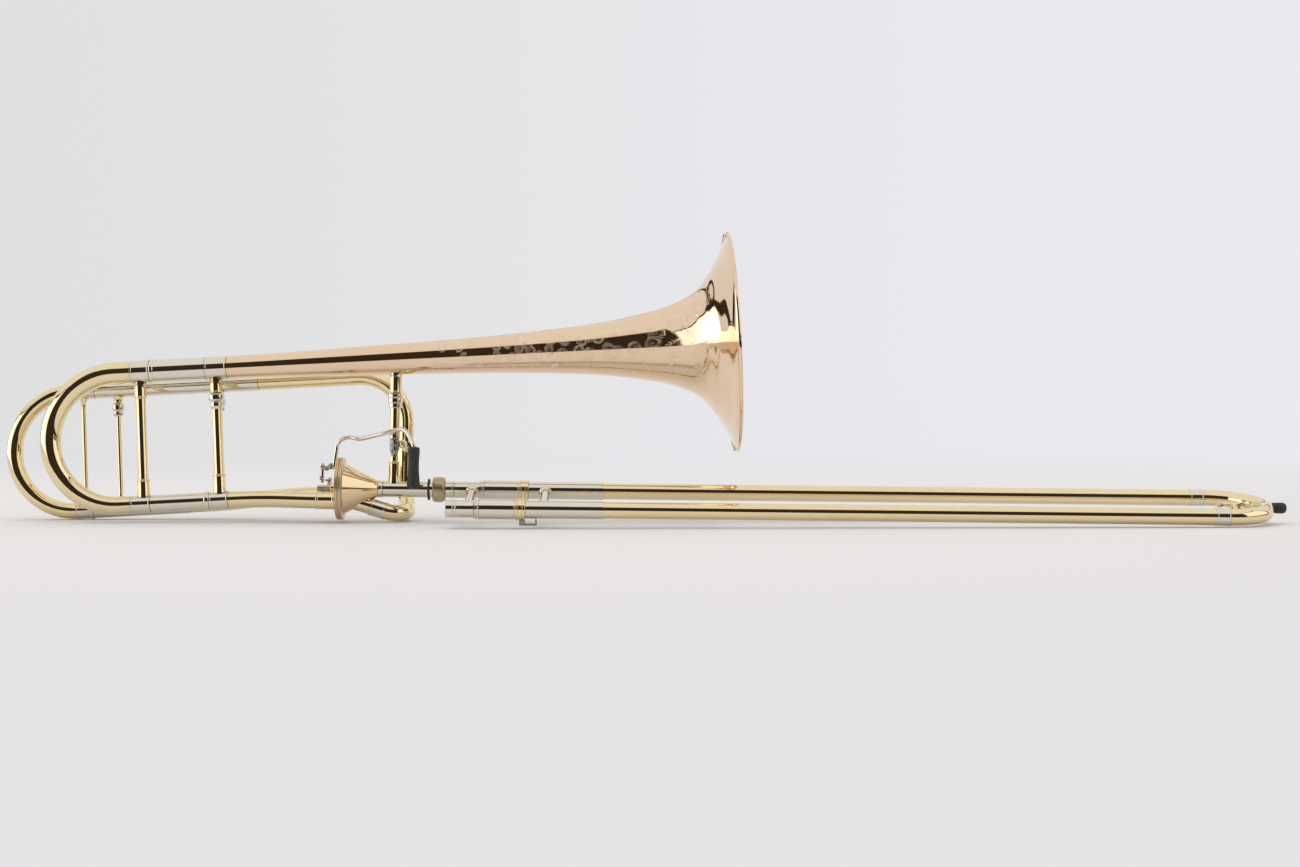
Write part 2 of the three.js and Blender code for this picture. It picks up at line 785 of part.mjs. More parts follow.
// Rotor: one passage from its nose to the slide's port, one from there to the side port.
const crankStart = bearingEnd - seat - crankHubLength;
const rotorBack = flangeStart + seat;
const rotorNoseX = coneEnd - rotorNose;
{
  const rotorRadius = (x) => coneRadius(x) - valveConeWall - rotorGap;
  const body = solidTurned(
    [
      [crankStart, rotorShaftRadius],
      [rotorBack, rotorShaftRadius],
      [rotorBack, rotorRadius(rotorBack)],
      [rotorNoseX, rotorRadius(rotorNoseX)],
    ],
    tubeSides * 2,
  );
  const turnDegrees = portBDegrees - portADegrees;
  const first = new Route(portPlace(portADegrees, rotorBack - overrun), eastward)
    .straight(overrun)
    .sweep(at(rotorNoseX, 0, 0), eastward, passagePull, sweepSteps)
    .straight(overrun);
  const outDegrees = portCDegrees - turnDegrees;
  const out = sidePortDirection(outDegrees);
  const second = new Route(portPlace(portADegrees - turnDegrees, rotorBack - overrun), eastward)
    .straight(overrun)
    .sweep(portPlace(outDegrees, sidePortX, sidePortRadius), out, sidePassagePull, sweepSteps)
    .straight(sidePortBack);
  const rotor = solidOf(body)
    .subtract(solidOf(rodOf(first, passageRadius, tubeSides)))
    .subtract(solidOf(rodOf(second, passageRadius, tubeSides)));
  addPiece(bellPlane, "valve_rotor", "brass", rotor);
  const armEnd = crankStart + crankHubLength - seat;
  const armStart = armEnd - crankThickness;
  const pinPlace = portPlace(crankRestDegrees, armStart, crankRadius);
  const arm = boxAt(at(armStart, 0, -crankWidth / 2), at(armEnd, crankRadius, crankWidth / 2));
  arm.rotateX(radians(crankRestDegrees));
  const eye = rod(armStart, armEnd, crankWidth / 2, tubeSides).translate(0, pinPlace.y, pinPlace.z);
  const pin = rod(armStart - crankPinLength, armEnd, crankPinRadius).translate(0, pinPlace.y, pinPlace.z);
  const crank = solidOf(rod(crankStart, armEnd, bearingRadius, tubeSides))
    .add(solidOf(arm))
    .add(solidOf(eye))
    .add(solidOf(pin))
    .subtract(solidOf(rod(crankStart - overrun, armEnd + overrun, rotorShaftRadius + running)));
  addPiece(bellPlane, "rotor_crank", "steel", crank);
}
const crankArmStart = crankStart + crankHubLength - seat - crankThickness;
const pinFace = crankArmStart - crankPinLength;

// Link: it hangs from the lever's stud, with its lower end beside the crank's pin.
const linkEnd = Math.min(pinFace, crankStart) - linkClearance;
const linkStart = linkEnd - linkThickness;
const leverDropX = valvePlateX - leverEndDrop;
{
  const tipHeight = crankRadius * Math.sin(radians(crankRestDegrees));
  const rounds = [
    rod(linkStart, linkEnd, linkEyeRadius, tubeSides).translate(0, leverReach, leverEndHeight),
    rod(linkStart, linkEnd, linkTipRadius, tubeSides).translate(0, leverReach, tipHeight),
  ];
  const bar = boxAt(
    at(linkStart, leverReach - linkWidth / 2, tipHeight),
    at(linkEnd, leverReach + linkWidth / 2, leverEndHeight),
  );
  const bore = rod(linkStart - overrun, linkEnd + overrun, leverRodRadius + linkPlay, tubeSides);
  const link = solidOf(bar)
    .add(solidOf(rounds[0]))
    .add(solidOf(rounds[1]))
    .subtract(solidOf(bore.translate(0, leverReach, leverEndHeight)));
  addPiece(bellPlane, "link_rod", "steel", link);
}

// Thumb lever: it turns round the bell brace on a collar.
{
  const gripPlace = at(-leverGripBehind, -leverGripSide, leverGripTop);
  const start = at(linkStart - leverStudEnd, leverReach, leverEndHeight);
  const stud = leverDropX - leverBendRadius - start.x;
  const route = new Route(start, eastward)
    .straight(stud)
    .bend(leverBendRadius, -90, northward, cornerSteps);
  const run = leverRunShares.slice(1).map(([along, aside, up]) =>
    at(
      leverDropX + along * (gripPlace.x - leverDropX),
      leverReach + aside * (gripPlace.y - leverReach),
      leverEndHeight + up * (leverTopHeight - leverEndHeight),
    ),
  );
  route.through(run, leverRunShares.length);
  route.direction.set(0, 0, -1);
  route.straight(leverGripSocket - running);
  addPiece(bellPlane, "lever_rod", "nickel", rodOf(route, leverRodRadius, rodSides));
  const bottom = leverGripTop - leverGripLength;
  const gripOutlineShares = [
    [0, 0.8],
    [0.02, 1],
    [0.12, 1],
    [0.3, 0.92],
    [0.5, 0.84],
    [0.7, 0.86],
    [0.85, 0.93],
    [0.97, 0.93],
    [1, 0.8],
  ];
  const outline = gripOutlineShares.map(([up, wide]) => [
    bottom + up * leverGripLength,
    wide * leverGripRadius,
  ]);
  const bore = leverRodRadius + running;
  const floor = leverGripTop - leverGripSocket;
  const profile = [[bottom, 0], ...outline, [leverGripTop, bore], [floor, bore], [floor, 0]];
  const grip = upright(turned(profile)).translate(gripPlace.x, gripPlace.y, 0);
  addPiece(bellPlane, "lever_grip", "rubber", grip);
}

// Receiver, washer and nut on the valve axis.
const receiverFerruleStart = coneEnd + seat;
const receiverStart = receiverFerruleStart + receiverFerruleLength + seat;
const receiverEnd = receiverStart + receiverLength;
const threadStart = receiverEnd + seat + washerThickness + seat;
const washerStart = receiverEnd + seat - washerBack;
const nutStart = receiverEnd + seat + washerThickness - slideNutGap;
const nutEnd = nutStart + slideNutLength;
{
  const ferruleEnd = receiverFerruleStart + receiverFerruleLength;
  const ferrule = pipe(receiverFerruleStart, ferruleEnd, receiverFerruleRadius, receiverBore);
  addPiece(bellPlane, "receiver_ferrule", "nickel", ferrule);
  const outline = [
    [receiverStart, receiverRadius],
    [threadStart, receiverRadius],
    [threadStart, threadRadius],
    [threadStart + threadLength, threadRadius],
  ];
  addPiece(bellPlane, "receiver_tube", "nickel", sleeve(outline, receiverBore));
  const washer = pipe(washerStart, washerStart + washerThickness, washerRadius, receiverRadius + running);
  addPiece(bellPlane, "joint_washer", "rubber", washer);

  const cavity = threadRadius + turning;
  const faceStart = nutEnd - slideNutFace;
  const shoulder = slideNutRadius * slideNutShoulderShare;
  const nut = solidOf(
    ridged(
      [
        [nutStart, shoulder],
        [nutStart + slideNutChamfer, slideNutRadius],
        [nutEnd - slideNutChamfer, slideNutRadius],
        [nutEnd, shoulder],
      ],
      tenonTubeRadius + turning,
    ),
  ).subtract(solidOf(rod(nutStart - overrun, faceStart, cavity, tubeSides)));
  addPiece(slidePlane, "slide_nut", "brass", nut);
  const collarEnd = faceStart - seat;
  const tenonEnd = nutEnd + tenonTubeLength;
  const tenon = [
    [receiverEnd - tenonDepth, tenonRadius],
    [collarEnd - tenonCollarLength, tenonRadius],
    [collarEnd - tenonCollarLength, tenonCollarRadius],
    [collarEnd, tenonCollarRadius],
    [collarEnd, tenonTubeRadius],
    [nutEnd + seat, tenonTubeRadius],
    [tenonEnd - tenonRingLength - seat, tenonTubeRadius],
    [tenonEnd - tenonRingLength, tenonRingRadius],
    [tenonEnd, tenonRingRadius],
  ];
  addPiece(slidePlane, "slide_tenon", "nickel", sleeve(tenon, tenonBore));
}

// F attachment. Its own group lies beside the main legs.
const fLegs = new THREE.Group();
fLegs.position.y = fOffset;
legs.add(fLegs);
const fBowX = -fBowBehind;
const fUpperLegStart = fBowX + fUpperBowStraight + seat;
const fUpperSleeveStart = fUpperLegStart + fUpperFerruleLength + seat;
const fUpperSleeveEnd = fUpperSleeveStart + fUpperSleeveLength;
const fLowerLegStart = fBowX + seat;
const fLowerBeadStart = fLowerLegStart + fLowerFerruleLength;
const fLowerSleeveStart = fLowerBeadStart + fLowerBeadLength + seat;
const fLowerSleeveEnd = fLowerSleeveStart + fLowerSleeveLength;
const fSleeveBore = fInnerRadius + running;
{
  const bow = new Route(at(fBowX, 0, -fLowerHeight), at(-1, 0, 0))
    .bend((fUpperHeight + fLowerHeight) / 2, 180, northward, bowSteps)
    .straight(fUpperBowStraight);
  addPiece(fLegs, "f_bow", "brass", tubeOf(bow, fTubeRadius, fTubeRadius - tubeWall));
  const upperEnd = fUpperLegStart + fUpperFerruleLength;
  const upperLeg = [
    ...banded(fUpperLegStart, upperEnd, fFerruleRadius - ferruleRise),
    [upperEnd, fInnerRadius],
    [upperEnd + fUpperInnerLength, fInnerRadius],
  ];
  addPiece(fLegs, "f_bow_upper_leg", "nickel", lift(sleeve(upperLeg, fInnerRadius - innerTubeWall), fUpperHeight));
  const lowerBeadEnd = fLowerBeadStart + fLowerBeadLength;
  const lowerLeg = [
    ...banded(fLowerLegStart, fLowerBeadStart, fFerruleRadius - ferruleRise),
    [fLowerBeadStart, fBeadRadius],
    [lowerBeadEnd, fBeadRadius],
    [lowerBeadEnd, fInnerRadius],
    [lowerBeadEnd + fLowerInnerLength, fInnerRadius],
  ];
  addPiece(fLegs, "f_bow_lower_leg", "nickel", lift(sleeve(lowerLeg, fInnerRadius - innerTubeWall), -fLowerHeight));
  const upperSleeve = pipe(fUpperSleeveStart, fUpperSleeveEnd, fSleeveRadius, fSleeveBore);
  addPiece(fLegs, "f_upper_sleeve", "nickel", lift(upperSleeve, fUpperHeight));
  const lowerSleeve = pipe(fLowerSleeveStart, fLowerSleeveEnd, fSleeveRadius, fSleeveBore);
  addPiece(fLegs, "f_lower_sleeve", "nickel", lift(lowerSleeve, -fLowerHeight));
}
const fBore = fTubeRadius - tubeWall;
const fLowerRoute = new Route(onLegs(fLowerSleeveEnd + seat, fOffset, -fLowerHeight), legDirection)
  .straight(fLowerStraight)
  .sweep(portPlace(portBDegrees, plateBack), eastward, fLowerPull, bowSteps);
addPiece(bellPlane, "f_lower_tube", "brass", tubeOf(fLowerRoute, fTubeRadius, fBore));
const gooseRoute = new Route(onLegs(lowerFixedEnd + seat, 0, -bowRadius), legDirection).sweep(
  portPlace(portADegrees, plateBack),
  eastward,
  goosePull,
  bowSteps,
);
addPiece(bellPlane, "gooseneck", "brass", tubeOf(gooseRoute, gooseRadius, gooseRadius - gooseWall));
{
  const start = onLegs(fUpperSleeveEnd + seat, fOffset, fUpperHeight);
  const bendStartX = -downTubeBehind - fBendRadius * (1 + legDirection.z);
  const route = new Route(start, legDirection)
    .straight((bendStartX - start.x) / legDirection.x)
    .bend(fBendRadius, 90 + legRiseDegrees, northward, bendSteps);
  route.straight(route.place.z - crookTop - seat);
  addPiece(bellPlane, "f_upper_tube", "brass", tubeOf(route, fTubeRadius, fBore));

  const crookStart = sidePort.clone().addScaledVector(stubDirection, sideStubLength + seat);
  const rise = at(0, Math.cos(radians(crookRiseDegrees)), Math.sin(radians(crookRiseDegrees)));
  const crook = new Route(crookStart, stubDirection)
    .straight(crookFerruleLength)
    .sweep(at(-downTubeBehind, crookSide, -crookDip), rise, crookPull, bendSteps)
    .sweep(at(-downTubeBehind, fOffset, crookTop), upward, crookPull, bendSteps);
  const ferrule = new Route(crookStart, stubDirection).straight(crookFerruleLength);
  const cone = solidTurned(
    [
      [flangeStart, coneRadius(flangeStart) + seat * 2],
      [coneEnd, valveConeApexRadius + seat * 2],
    ],
    tubeSides * 2,
  );
  const shape = solidOf(tubeOf(crook, fTubeRadius, fBore))
    .add(solidOf(tubeOf(ferrule, crookFerruleRadius, fBore)))
    .subtract(solidOf(cone));
  addPiece(bellPlane, "f_crook", "brass", shape);
}

// Braces between the legs. Each end is cut to sit on its tube.
const braceBore = braceRadius - braceWall;
const legCutter = (radius, height, place) =>
  solidOf(
    lift(rod(place - radius * 2, place + radius * 2, radius + seat, tubeSides), height),
  );
const socketOutline = (low, high, wide, saddleLow, saddleHigh) => [
  ...(saddleLow ? [[low, braceSaddleRadius], [low + braceSaddleLength, braceSaddleRadius]] : []),
  [saddleLow ? low + braceSaddleLength : low, wide],
  [saddleHigh ? high - braceSaddleLength : high, wide],
  ...(saddleHigh ? [[high - braceSaddleLength, braceSaddleRadius], [high, braceSaddleRadius]] : []),
];
const tailBottom = bowRadius - upperLegRadius - ferruleRise;
const lowerTop = -bowRadius + lowerLegRadius + ferruleRise;
{
  const reach = braceSaddleLength;
  const low = lowerTop - reach;
  const high = tailBottom + reach;
  const bowBrace = [
    ...socketOutline(low, lowerTop + braceLowSocketLength, braceSocketRadius, true, false),
    [lowerTop + braceLowSocketLength, braceRadius],
    [tailBottom - braceLowSocketLength, braceRadius],
    ...socketOutline(tailBottom - braceLowSocketLength, high, braceSocketRadius, false, true),
  ];
  const cut = (solid, place) =>
    solid
      .subtract(legCutter(upperLegRadius + ferruleRise, bowRadius, place))
      .subtract(legCutter(lowerLegRadius + ferruleRise, -bowRadius, place));
  const brace = upright(sleeve(bowBrace, braceBore, rodSides + 2)).translate(bowBracePlace, 0, 0);
  addPiece(legs, "bow_brace", "brass", cut(solidOf(brace), bowBracePlace));

  const place = bodyBracePlace;
  const socketLow = tailBottom - braceTopSocketLength;
  const nutTop = socketLow - seat;
  const nutLow = nutTop - braceNutLength;
  const socket = [
    [nutTop - braceThreadLength, braceRadius],
    [socketLow, braceRadius],
    ...socketOutline(socketLow, high, braceSocketRadius, false, true),
  ];
  const socketShape = upright(sleeve(socket, braceBore, rodSides + 2)).translate(place, 0, 0);
  addPiece(legs, "body_brace_socket", "brass", cut(solidOf(socketShape), place));
  const groove = braceNutRadius * grooveShare;
  const middle = (nutTop + nutLow) / 2;
  const nut = [
    [nutLow, groove],
    [nutLow + ferruleRise, braceNutRadius],
    [middle - ferruleRise, braceNutRadius],
    [middle, groove],
    [middle + ferruleRise, braceNutRadius],
    [nutTop - ferruleRise, braceNutRadius],
    [nutTop, groove],
  ];
  const nutShape = upright(ridged(nut, braceRadius + running)).translate(place, 0, 0);
  addPiece(legs, "body_brace_nut", "nickel", nutShape);
  const tube = [
    ...socketOutline(low, lowerTop + braceLowSocketLength, braceSocketRadius, true, false),
    [lowerTop + braceLowSocketLength, braceRadius],
    [nutTop - braceThreadLength - seat, braceRadius],
  ];
  const tubeShape = upright(sleeve(tube, braceBore, rodSides + 2)).translate(place, 0, 0);
  addPiece(legs, "body_brace_tube", "brass", cut(solidOf(tubeShape), place));
}
{
  const top = fUpperHeight - fSleeveRadius;
  const low = -fLowerHeight + fSleeveRadius;
  const slideTop = fUpperHeight - fTubeRadius - seat;
  const slideLow = -fLowerHeight + fFerruleRadius + seat;
  const foot = [
    [slideLow, thinFootRadius * footFlareShare],
    [slideLow + thinFootLength / 2, thinFootRadius],
    [slideLow + thinFootLength, thinBraceRadius],
    [slideTop - thinFootLength, thinBraceRadius],
    [slideTop - thinFootLength / 2, thinFootRadius],
    [slideTop, thinFootRadius * footFlareShare],
  ];
  addPiece(fLegs, "f_bow_brace", "brass", upright(solidTurned(foot, rodSides)).translate(-fBowBraceBack, 0, 0));
  const nutTop = top - thinSocketLength - seat;
  const nutLow = nutTop - thinNutLength;
  const rodOutline = [
    [low + seat, thinFootRadius * footFlareShare],
    [low + thinFootLength / 2, thinFootRadius],
    [low + thinFootLength, thinBraceRadius],
    [nutTop, thinBraceRadius],
    [nutTop + seat, braceSocketRadius],
    [top - seat, braceSocketRadius],
  ];
  const rodShape = upright(solidTurned(rodOutline, rodSides)).translate(-fBodyBraceBack, 0, 0);
  addPiece(fLegs, "f_brace_rod", "brass", rodShape);
  const thinNut = () => [
    [nutLow, thinNutRadius * nutNeckShare],
    [nutLow + ferruleRise, thinNutRadius],
    [nutTop - ferruleRise * 2, thinNutRadius],
    [nutTop - ferruleRise, thinNutRadius * grooveShare],
  ];
  const nutShape = upright(ridged(thinNut(), thinBraceRadius + running)).translate(-fBodyBraceBack, 0, 0);
  addPiece(fLegs, "f_brace_nut", "nickel", nutShape);
  const rearOutline = [
    [low - overrun, thinFootRadius * footFlareShare],
    [low + thinFootLength / 2, thinFootRadius],
    [low + thinFootLength, rearBraceRadius],
    [nutTop, rearBraceRadius],
    [nutTop + seat, braceSocketRadius],
    [top - seat, braceSocketRadius],
  ];
  const rear = upright(solidTurned(rearOutline, rodSides))
    .translate(fRearBracePlace, fOffset, 0)
    .applyMatrix4(legs.matrix);
  const rearCut = solidOf(rodOf(fLowerRoute, fTubeRadius + seat, tubeSides));
  addPiece(bellPlane, "f_rear_brace", "brass", solidOf(rear).subtract(rearCut));
  const rearNut = upright(ridged(thinNut(), rearBraceRadius + running)).translate(fRearBracePlace, 0, 0);
  addPiece(fLegs, "f_rear_nut", "nickel", rearNut);
}

// Bell brace, from the receiver up to the bell, with the lever's collar and the joint to the F tube.
const bellBraceX = -bellBraceBehind;
{
  const along = (bellBraceBehind - bowCentreBehind) * -1 / legDirection.x + bowRadius * legDirection.z;
  const bellAxisHeight = onLegs(along, 0, bowRadius).z;
  const backShare = (bellRim - along) / bellLength;
  const after = bellOutlineShares.findIndex(([share]) => share < backShare);
  const [b, a] = [bellOutlineShares[after], bellOutlineShares[after - 1]];
  const mix = (backShare - a[0]) / (b[0] - a[0]);
  const bellRadiusHere = (a[1] + (b[1] - a[1]) * mix) * bellMouthRadius;
  const bellBottom = bellAxisHeight - bellRadiusHere;
  const topCut = solidOf(
    rod(-bellRadiusHere * 2, bellRadiusHere * 2, bellRadiusHere + seat * 2, tubeSides * 2)
      .rotateY(-radians(legRiseDegrees))
      .translate(bellBraceX, 0, bellAxisHeight),
  );
  const nutTop = bellSocketBottom - seat;
  const nutLow = nutTop - bellNutLength;
  const socket = [
    [nutTop - braceThreadLength, braceRadius],
    [bellSocketBottom, braceRadius],
    ...socketOutline(bellSocketBottom, bellBottom + braceSaddleLength, braceSocketRadius, false, true),
  ];
  const socketShape = upright(sleeve(socket, braceBore, rodSides + 2)).translate(bellBraceX, 0, 0);
  addPiece(bellPlane, "bell_brace_socket", "brass", solidOf(socketShape).subtract(topCut));
  const third = bellNutLength / 3;
  const nut = [
    [nutLow, bellNutRadius * nutNeckShare],
    [nutLow + ferruleRise, bellNutRadius * nutStepShare],
    [nutLow + third, bellNutRadius * nutStepShare],
    [nutLow + third + ferruleRise, bellNutRadius],
    [nutTop - third, bellNutRadius],
    [nutTop - ferruleRise, bellNutRadius * grooveShare],
  ];
  const nutShape = upright(ridged(nut, braceRadius + running)).translate(bellBraceX, 0, 0);
  addPiece(bellPlane, "bell_brace_nut", "nickel", nutShape);
  const tubeLow = bellJointTop + seat;
  const tube = upright(pipe(tubeLow, nutTop - braceThreadLength - seat, braceRadius, braceBore, rodSides + 2));
  addPiece(bellPlane, "bell_brace_tube", "brass", tube.translate(bellBraceX, 0, 0));
  const collar = upright(
    pipe(tubeLow, tubeLow + leverCollarLength, leverCollarRadius, braceRadius + running, tubeSides),
  );
  addPiece(bellPlane, "lever_collar", "nickel", collar.translate(bellBraceX, 0, 0));
  const jointLow = bellJointTop - bellJointLength;
  const joint = [
    [jointLow, bellJointRadius * grooveShare],
    [jointLow + ferruleRise, bellJointRadius],
    [bellJointTop - ferruleRise, bellJointRadius],
    [bellJointTop, bellJointRadius * jointEdgeShare],
  ];
  const jointShape = upright(solidTurned(joint, tubeSides)).translate(bellBraceX, 0, 0);
  addPiece(bellPlane, "bell_brace_joint", "darkNickel", jointShape);
  const footTop = jointLow - seat;
  const foot = [
    [receiverRadius / 2, braceSocketRadius],
    [bellFootSocketTop, braceSocketRadius],
    [bellFootSocketTop, braceRadius],
    [footTop - bellFootDome, braceRadius],
    [footTop - bellFootDome / 2, braceRadius],
    [footTop, bellJointRadius * jointEdgeShare],
  ];
  const footShape = upright(sleeve(foot, braceBore, rodSides + 2)).translate(bellBraceX, 0, 0);
  const receiverCut = rod(
    bellBraceX - receiverRadius * 2,
    bellBraceX + receiverRadius * 2,
    receiverRadius + seat,
    tubeSides,
  );
  addPiece(bellPlane, "bell_brace_foot", "brass", solidOf(footShape).subtract(solidOf(receiverCut)));
  const stayX = bellBraceX + stayBack;
  const stayHeight = bellJointTop - bellJointLength / 2;
  const stayEnd = fOffset;
  const flangeStart = fOffset - fTubeRadius - stayFlangeLength;
  const stay = solidOf(
    across(
      solidTurned(
        [
          [bellJointRadius - ferruleRise, stayRadius],
          [flangeStart, stayRadius],
          [flangeStart, stayFlangeRadius],
          [stayEnd, stayFlangeRadius],
        ],
        rodSides + 2,
      ),
    ).translate(stayX, 0, stayHeight),
  );
  const tubeCut = upright(rod(0, stayHeight * 2, fTubeRadius + seat, tubeSides)).translate(
    -downTubeBehind,
    fOffset,
    0,
  );
  const jointCut = upright(rod(0, bellJointTop * 2, bellJointRadius + seat, tubeSides)).translate(bellBraceX, 0, 0);
  const halves = solidOf(
    boxAt(
      at(stayX - stayFlangeRadius * 2, fOffset - stayFlangeRadius, 0),
      at(stayX + stayFlangeRadius * 4, fOffset + stayFlangeRadius * 2, stayHeight * 2),
    ),
  );
  addPiece(
    bellPlane,
    "f_tube_stay",
    "brass",
    stay.subtract(solidOf(tubeCut)).subtract(solidOf(jointCut)).subtract(halves),
  );
}

// Slide section: the near and far inner tubes with their barrels, rings and brace.
const nearY = -slideSpacing;
const barrelStart = -barrelBehind;
const barrelEnd = barrelStart + barrelLength;
const ringStart = -slideRingBehind;
const ringEnd = ringStart + slideRingLength;
const sleeveStart = -outerSleeveStart;
const sleeveEnd = sleeveStart + outerSleeveLength;
const slideTubeEnd = sleeveEnd + brassTubeLength;
const slideFerruleEnd = slideTubeEnd + slideFerruleLength;
const innerTubeEnd = slideTubeEnd - innerTubeShort;
{
  const barrel = (start) => {
    const body = solidOf(
      sleeve(
        [
          ...start,
          [barrelStart, farRingRadius],
          [barrelStart + farRingLength, farRingRadius],
          [barrelStart + farRingLength, barrelRadius],
          [barrelEnd, barrelRadius],
        ],
        innerTubeBore,
      ),
    );
    const hollow = pipe(barrelStart + barrelFloor, barrelEnd + overrun, barrelBore, innerTubeRadius);
    const inner = pipe(barrelStart + barrelFloor, innerTubeEnd, innerTubeRadius, innerTubeBore);
    return body.subtract(solidOf(hollow)).add(solidOf(inner));
  };
  const farStart = nutEnd + tenonTubeLength + seat;
  const far = barrel([
    [farStart, tenonTubeRadius + ferruleRise],
    [barrelStart, tenonTubeRadius + ferruleRise],
  ]);
  addPiece(slidePlane, "inner_slide_far", "nickel", far);
  const near = barrel([]).translate([0, nearY, 0]);
  addPiece(slidePlane, "inner_slide_near", "nickel", near);
  const ring = [
    [ringStart, slideRingRadius],
    [ringStart + slideRingLength / 3, slideRingRadius],
    [ringStart + slideRingLength / 2, slideRingWaistRadius],
    [ringEnd - slideRingLength / 3, slideRingRadius],
    [ringEnd, slideRingRadius],
  ];
  const ringShape = () => sleeve(ring, barrelRadius + turning, tubeSides);
  addPiece(slidePlane, "far_slide_ring", "brass", ringShape());
  const half = lockWidth / 2;
  const armLow = -lockReach;
  const armHigh = armLow + lockArmThickness;
  const hookEnd = ringEnd + lockRun;
  const box = (x0, x1, z0, z1) => solidOf(boxAt(at(x0, -half, z0), at(x1, half, z1)));
  const ringBottom = -barrelRadius - turning - ferruleRise;
  const lock = solidOf(ringShape())
    .add(box(ringEnd - lockRootLength, ringEnd, armLow, ringBottom))
    .add(box(ringEnd - lockRootLength, hookEnd, armLow, armHigh))
    .add(box(hookEnd - lockFingerLength, hookEnd, armLow, -lockFingerFoot));
  addPiece(slidePlane, "slide_lock", "brass", lock.translate([0, nearY, 0]));

  const mouthEnd = -mouthpieceEndBehind;
  const mouthStop = barrelStart - seat;
  const mouthLength = mouthStop - mouthEnd;
  const beadPlace = mouthEnd + mouthLength / 3;
  const receiver = [
    [mouthEnd, mouthpieceBore],
    [mouthEnd, mouthpieceLipRadius],
    [mouthEnd + ridgeLength, mouthpieceLipRadius],
    [mouthEnd + ridgeLength, mouthpieceRadius],
    [beadPlace, mouthpieceRadius],
    [beadPlace + ridgeLength / 2, mouthpieceRadius + ferruleRise],
    [beadPlace + ridgeLength, mouthpieceRadius],
    [mouthStop, mouthpieceRadius],
    [mouthStop, mouthpieceNarrowBore],
    [mouthEnd, mouthpieceBore],
  ];
  const mouth = turned(receiver).translate(0, nearY, 0);
  addPiece(slidePlane, "mouthpiece_receiver", "nickel", mouth);
}

// A brace across the slide, cut to sit on the near and the far tube.
function slideBrace(place, nearRadius, farRadius) {
  const low = nearY + nearRadius - slideFlangeLength;
  const high = -farRadius + slideFlangeLength;
  const outline = [
    [low, slideFlangeRadius],
    [low + slideFlangeLength * 2, slideFlangeRadius],
    [low + slideFlangeLength * 2, slideBraceRadius],
    [high - slideFlangeLength * 2, slideBraceRadius],
    [high - slideFlangeLength * 2, slideFlangeRadius],
    [high, slideFlangeRadius],
  ];
  const bore = slideBraceRadius - slideBraceWall;
  const shape = solidOf(across(sleeve(outline, bore, rodSides + 2)).translate(place, 0, 0));
  const cutter = (y, radius) =>
    solidOf(rod(place - radius * 2, place + radius * 2, radius + seat, tubeSides).translate(0, y, 0));
  return shape.subtract(cutter(0, farRadius)).subtract(cutter(nearY, nearRadius));
}
const innerBrace = slideBrace(-innerBraceBehind, mouthpieceRadius, tenonTubeRadius + ferruleRise);
addPiece(slidePlane, "inner_brace", "nickel", innerBrace);

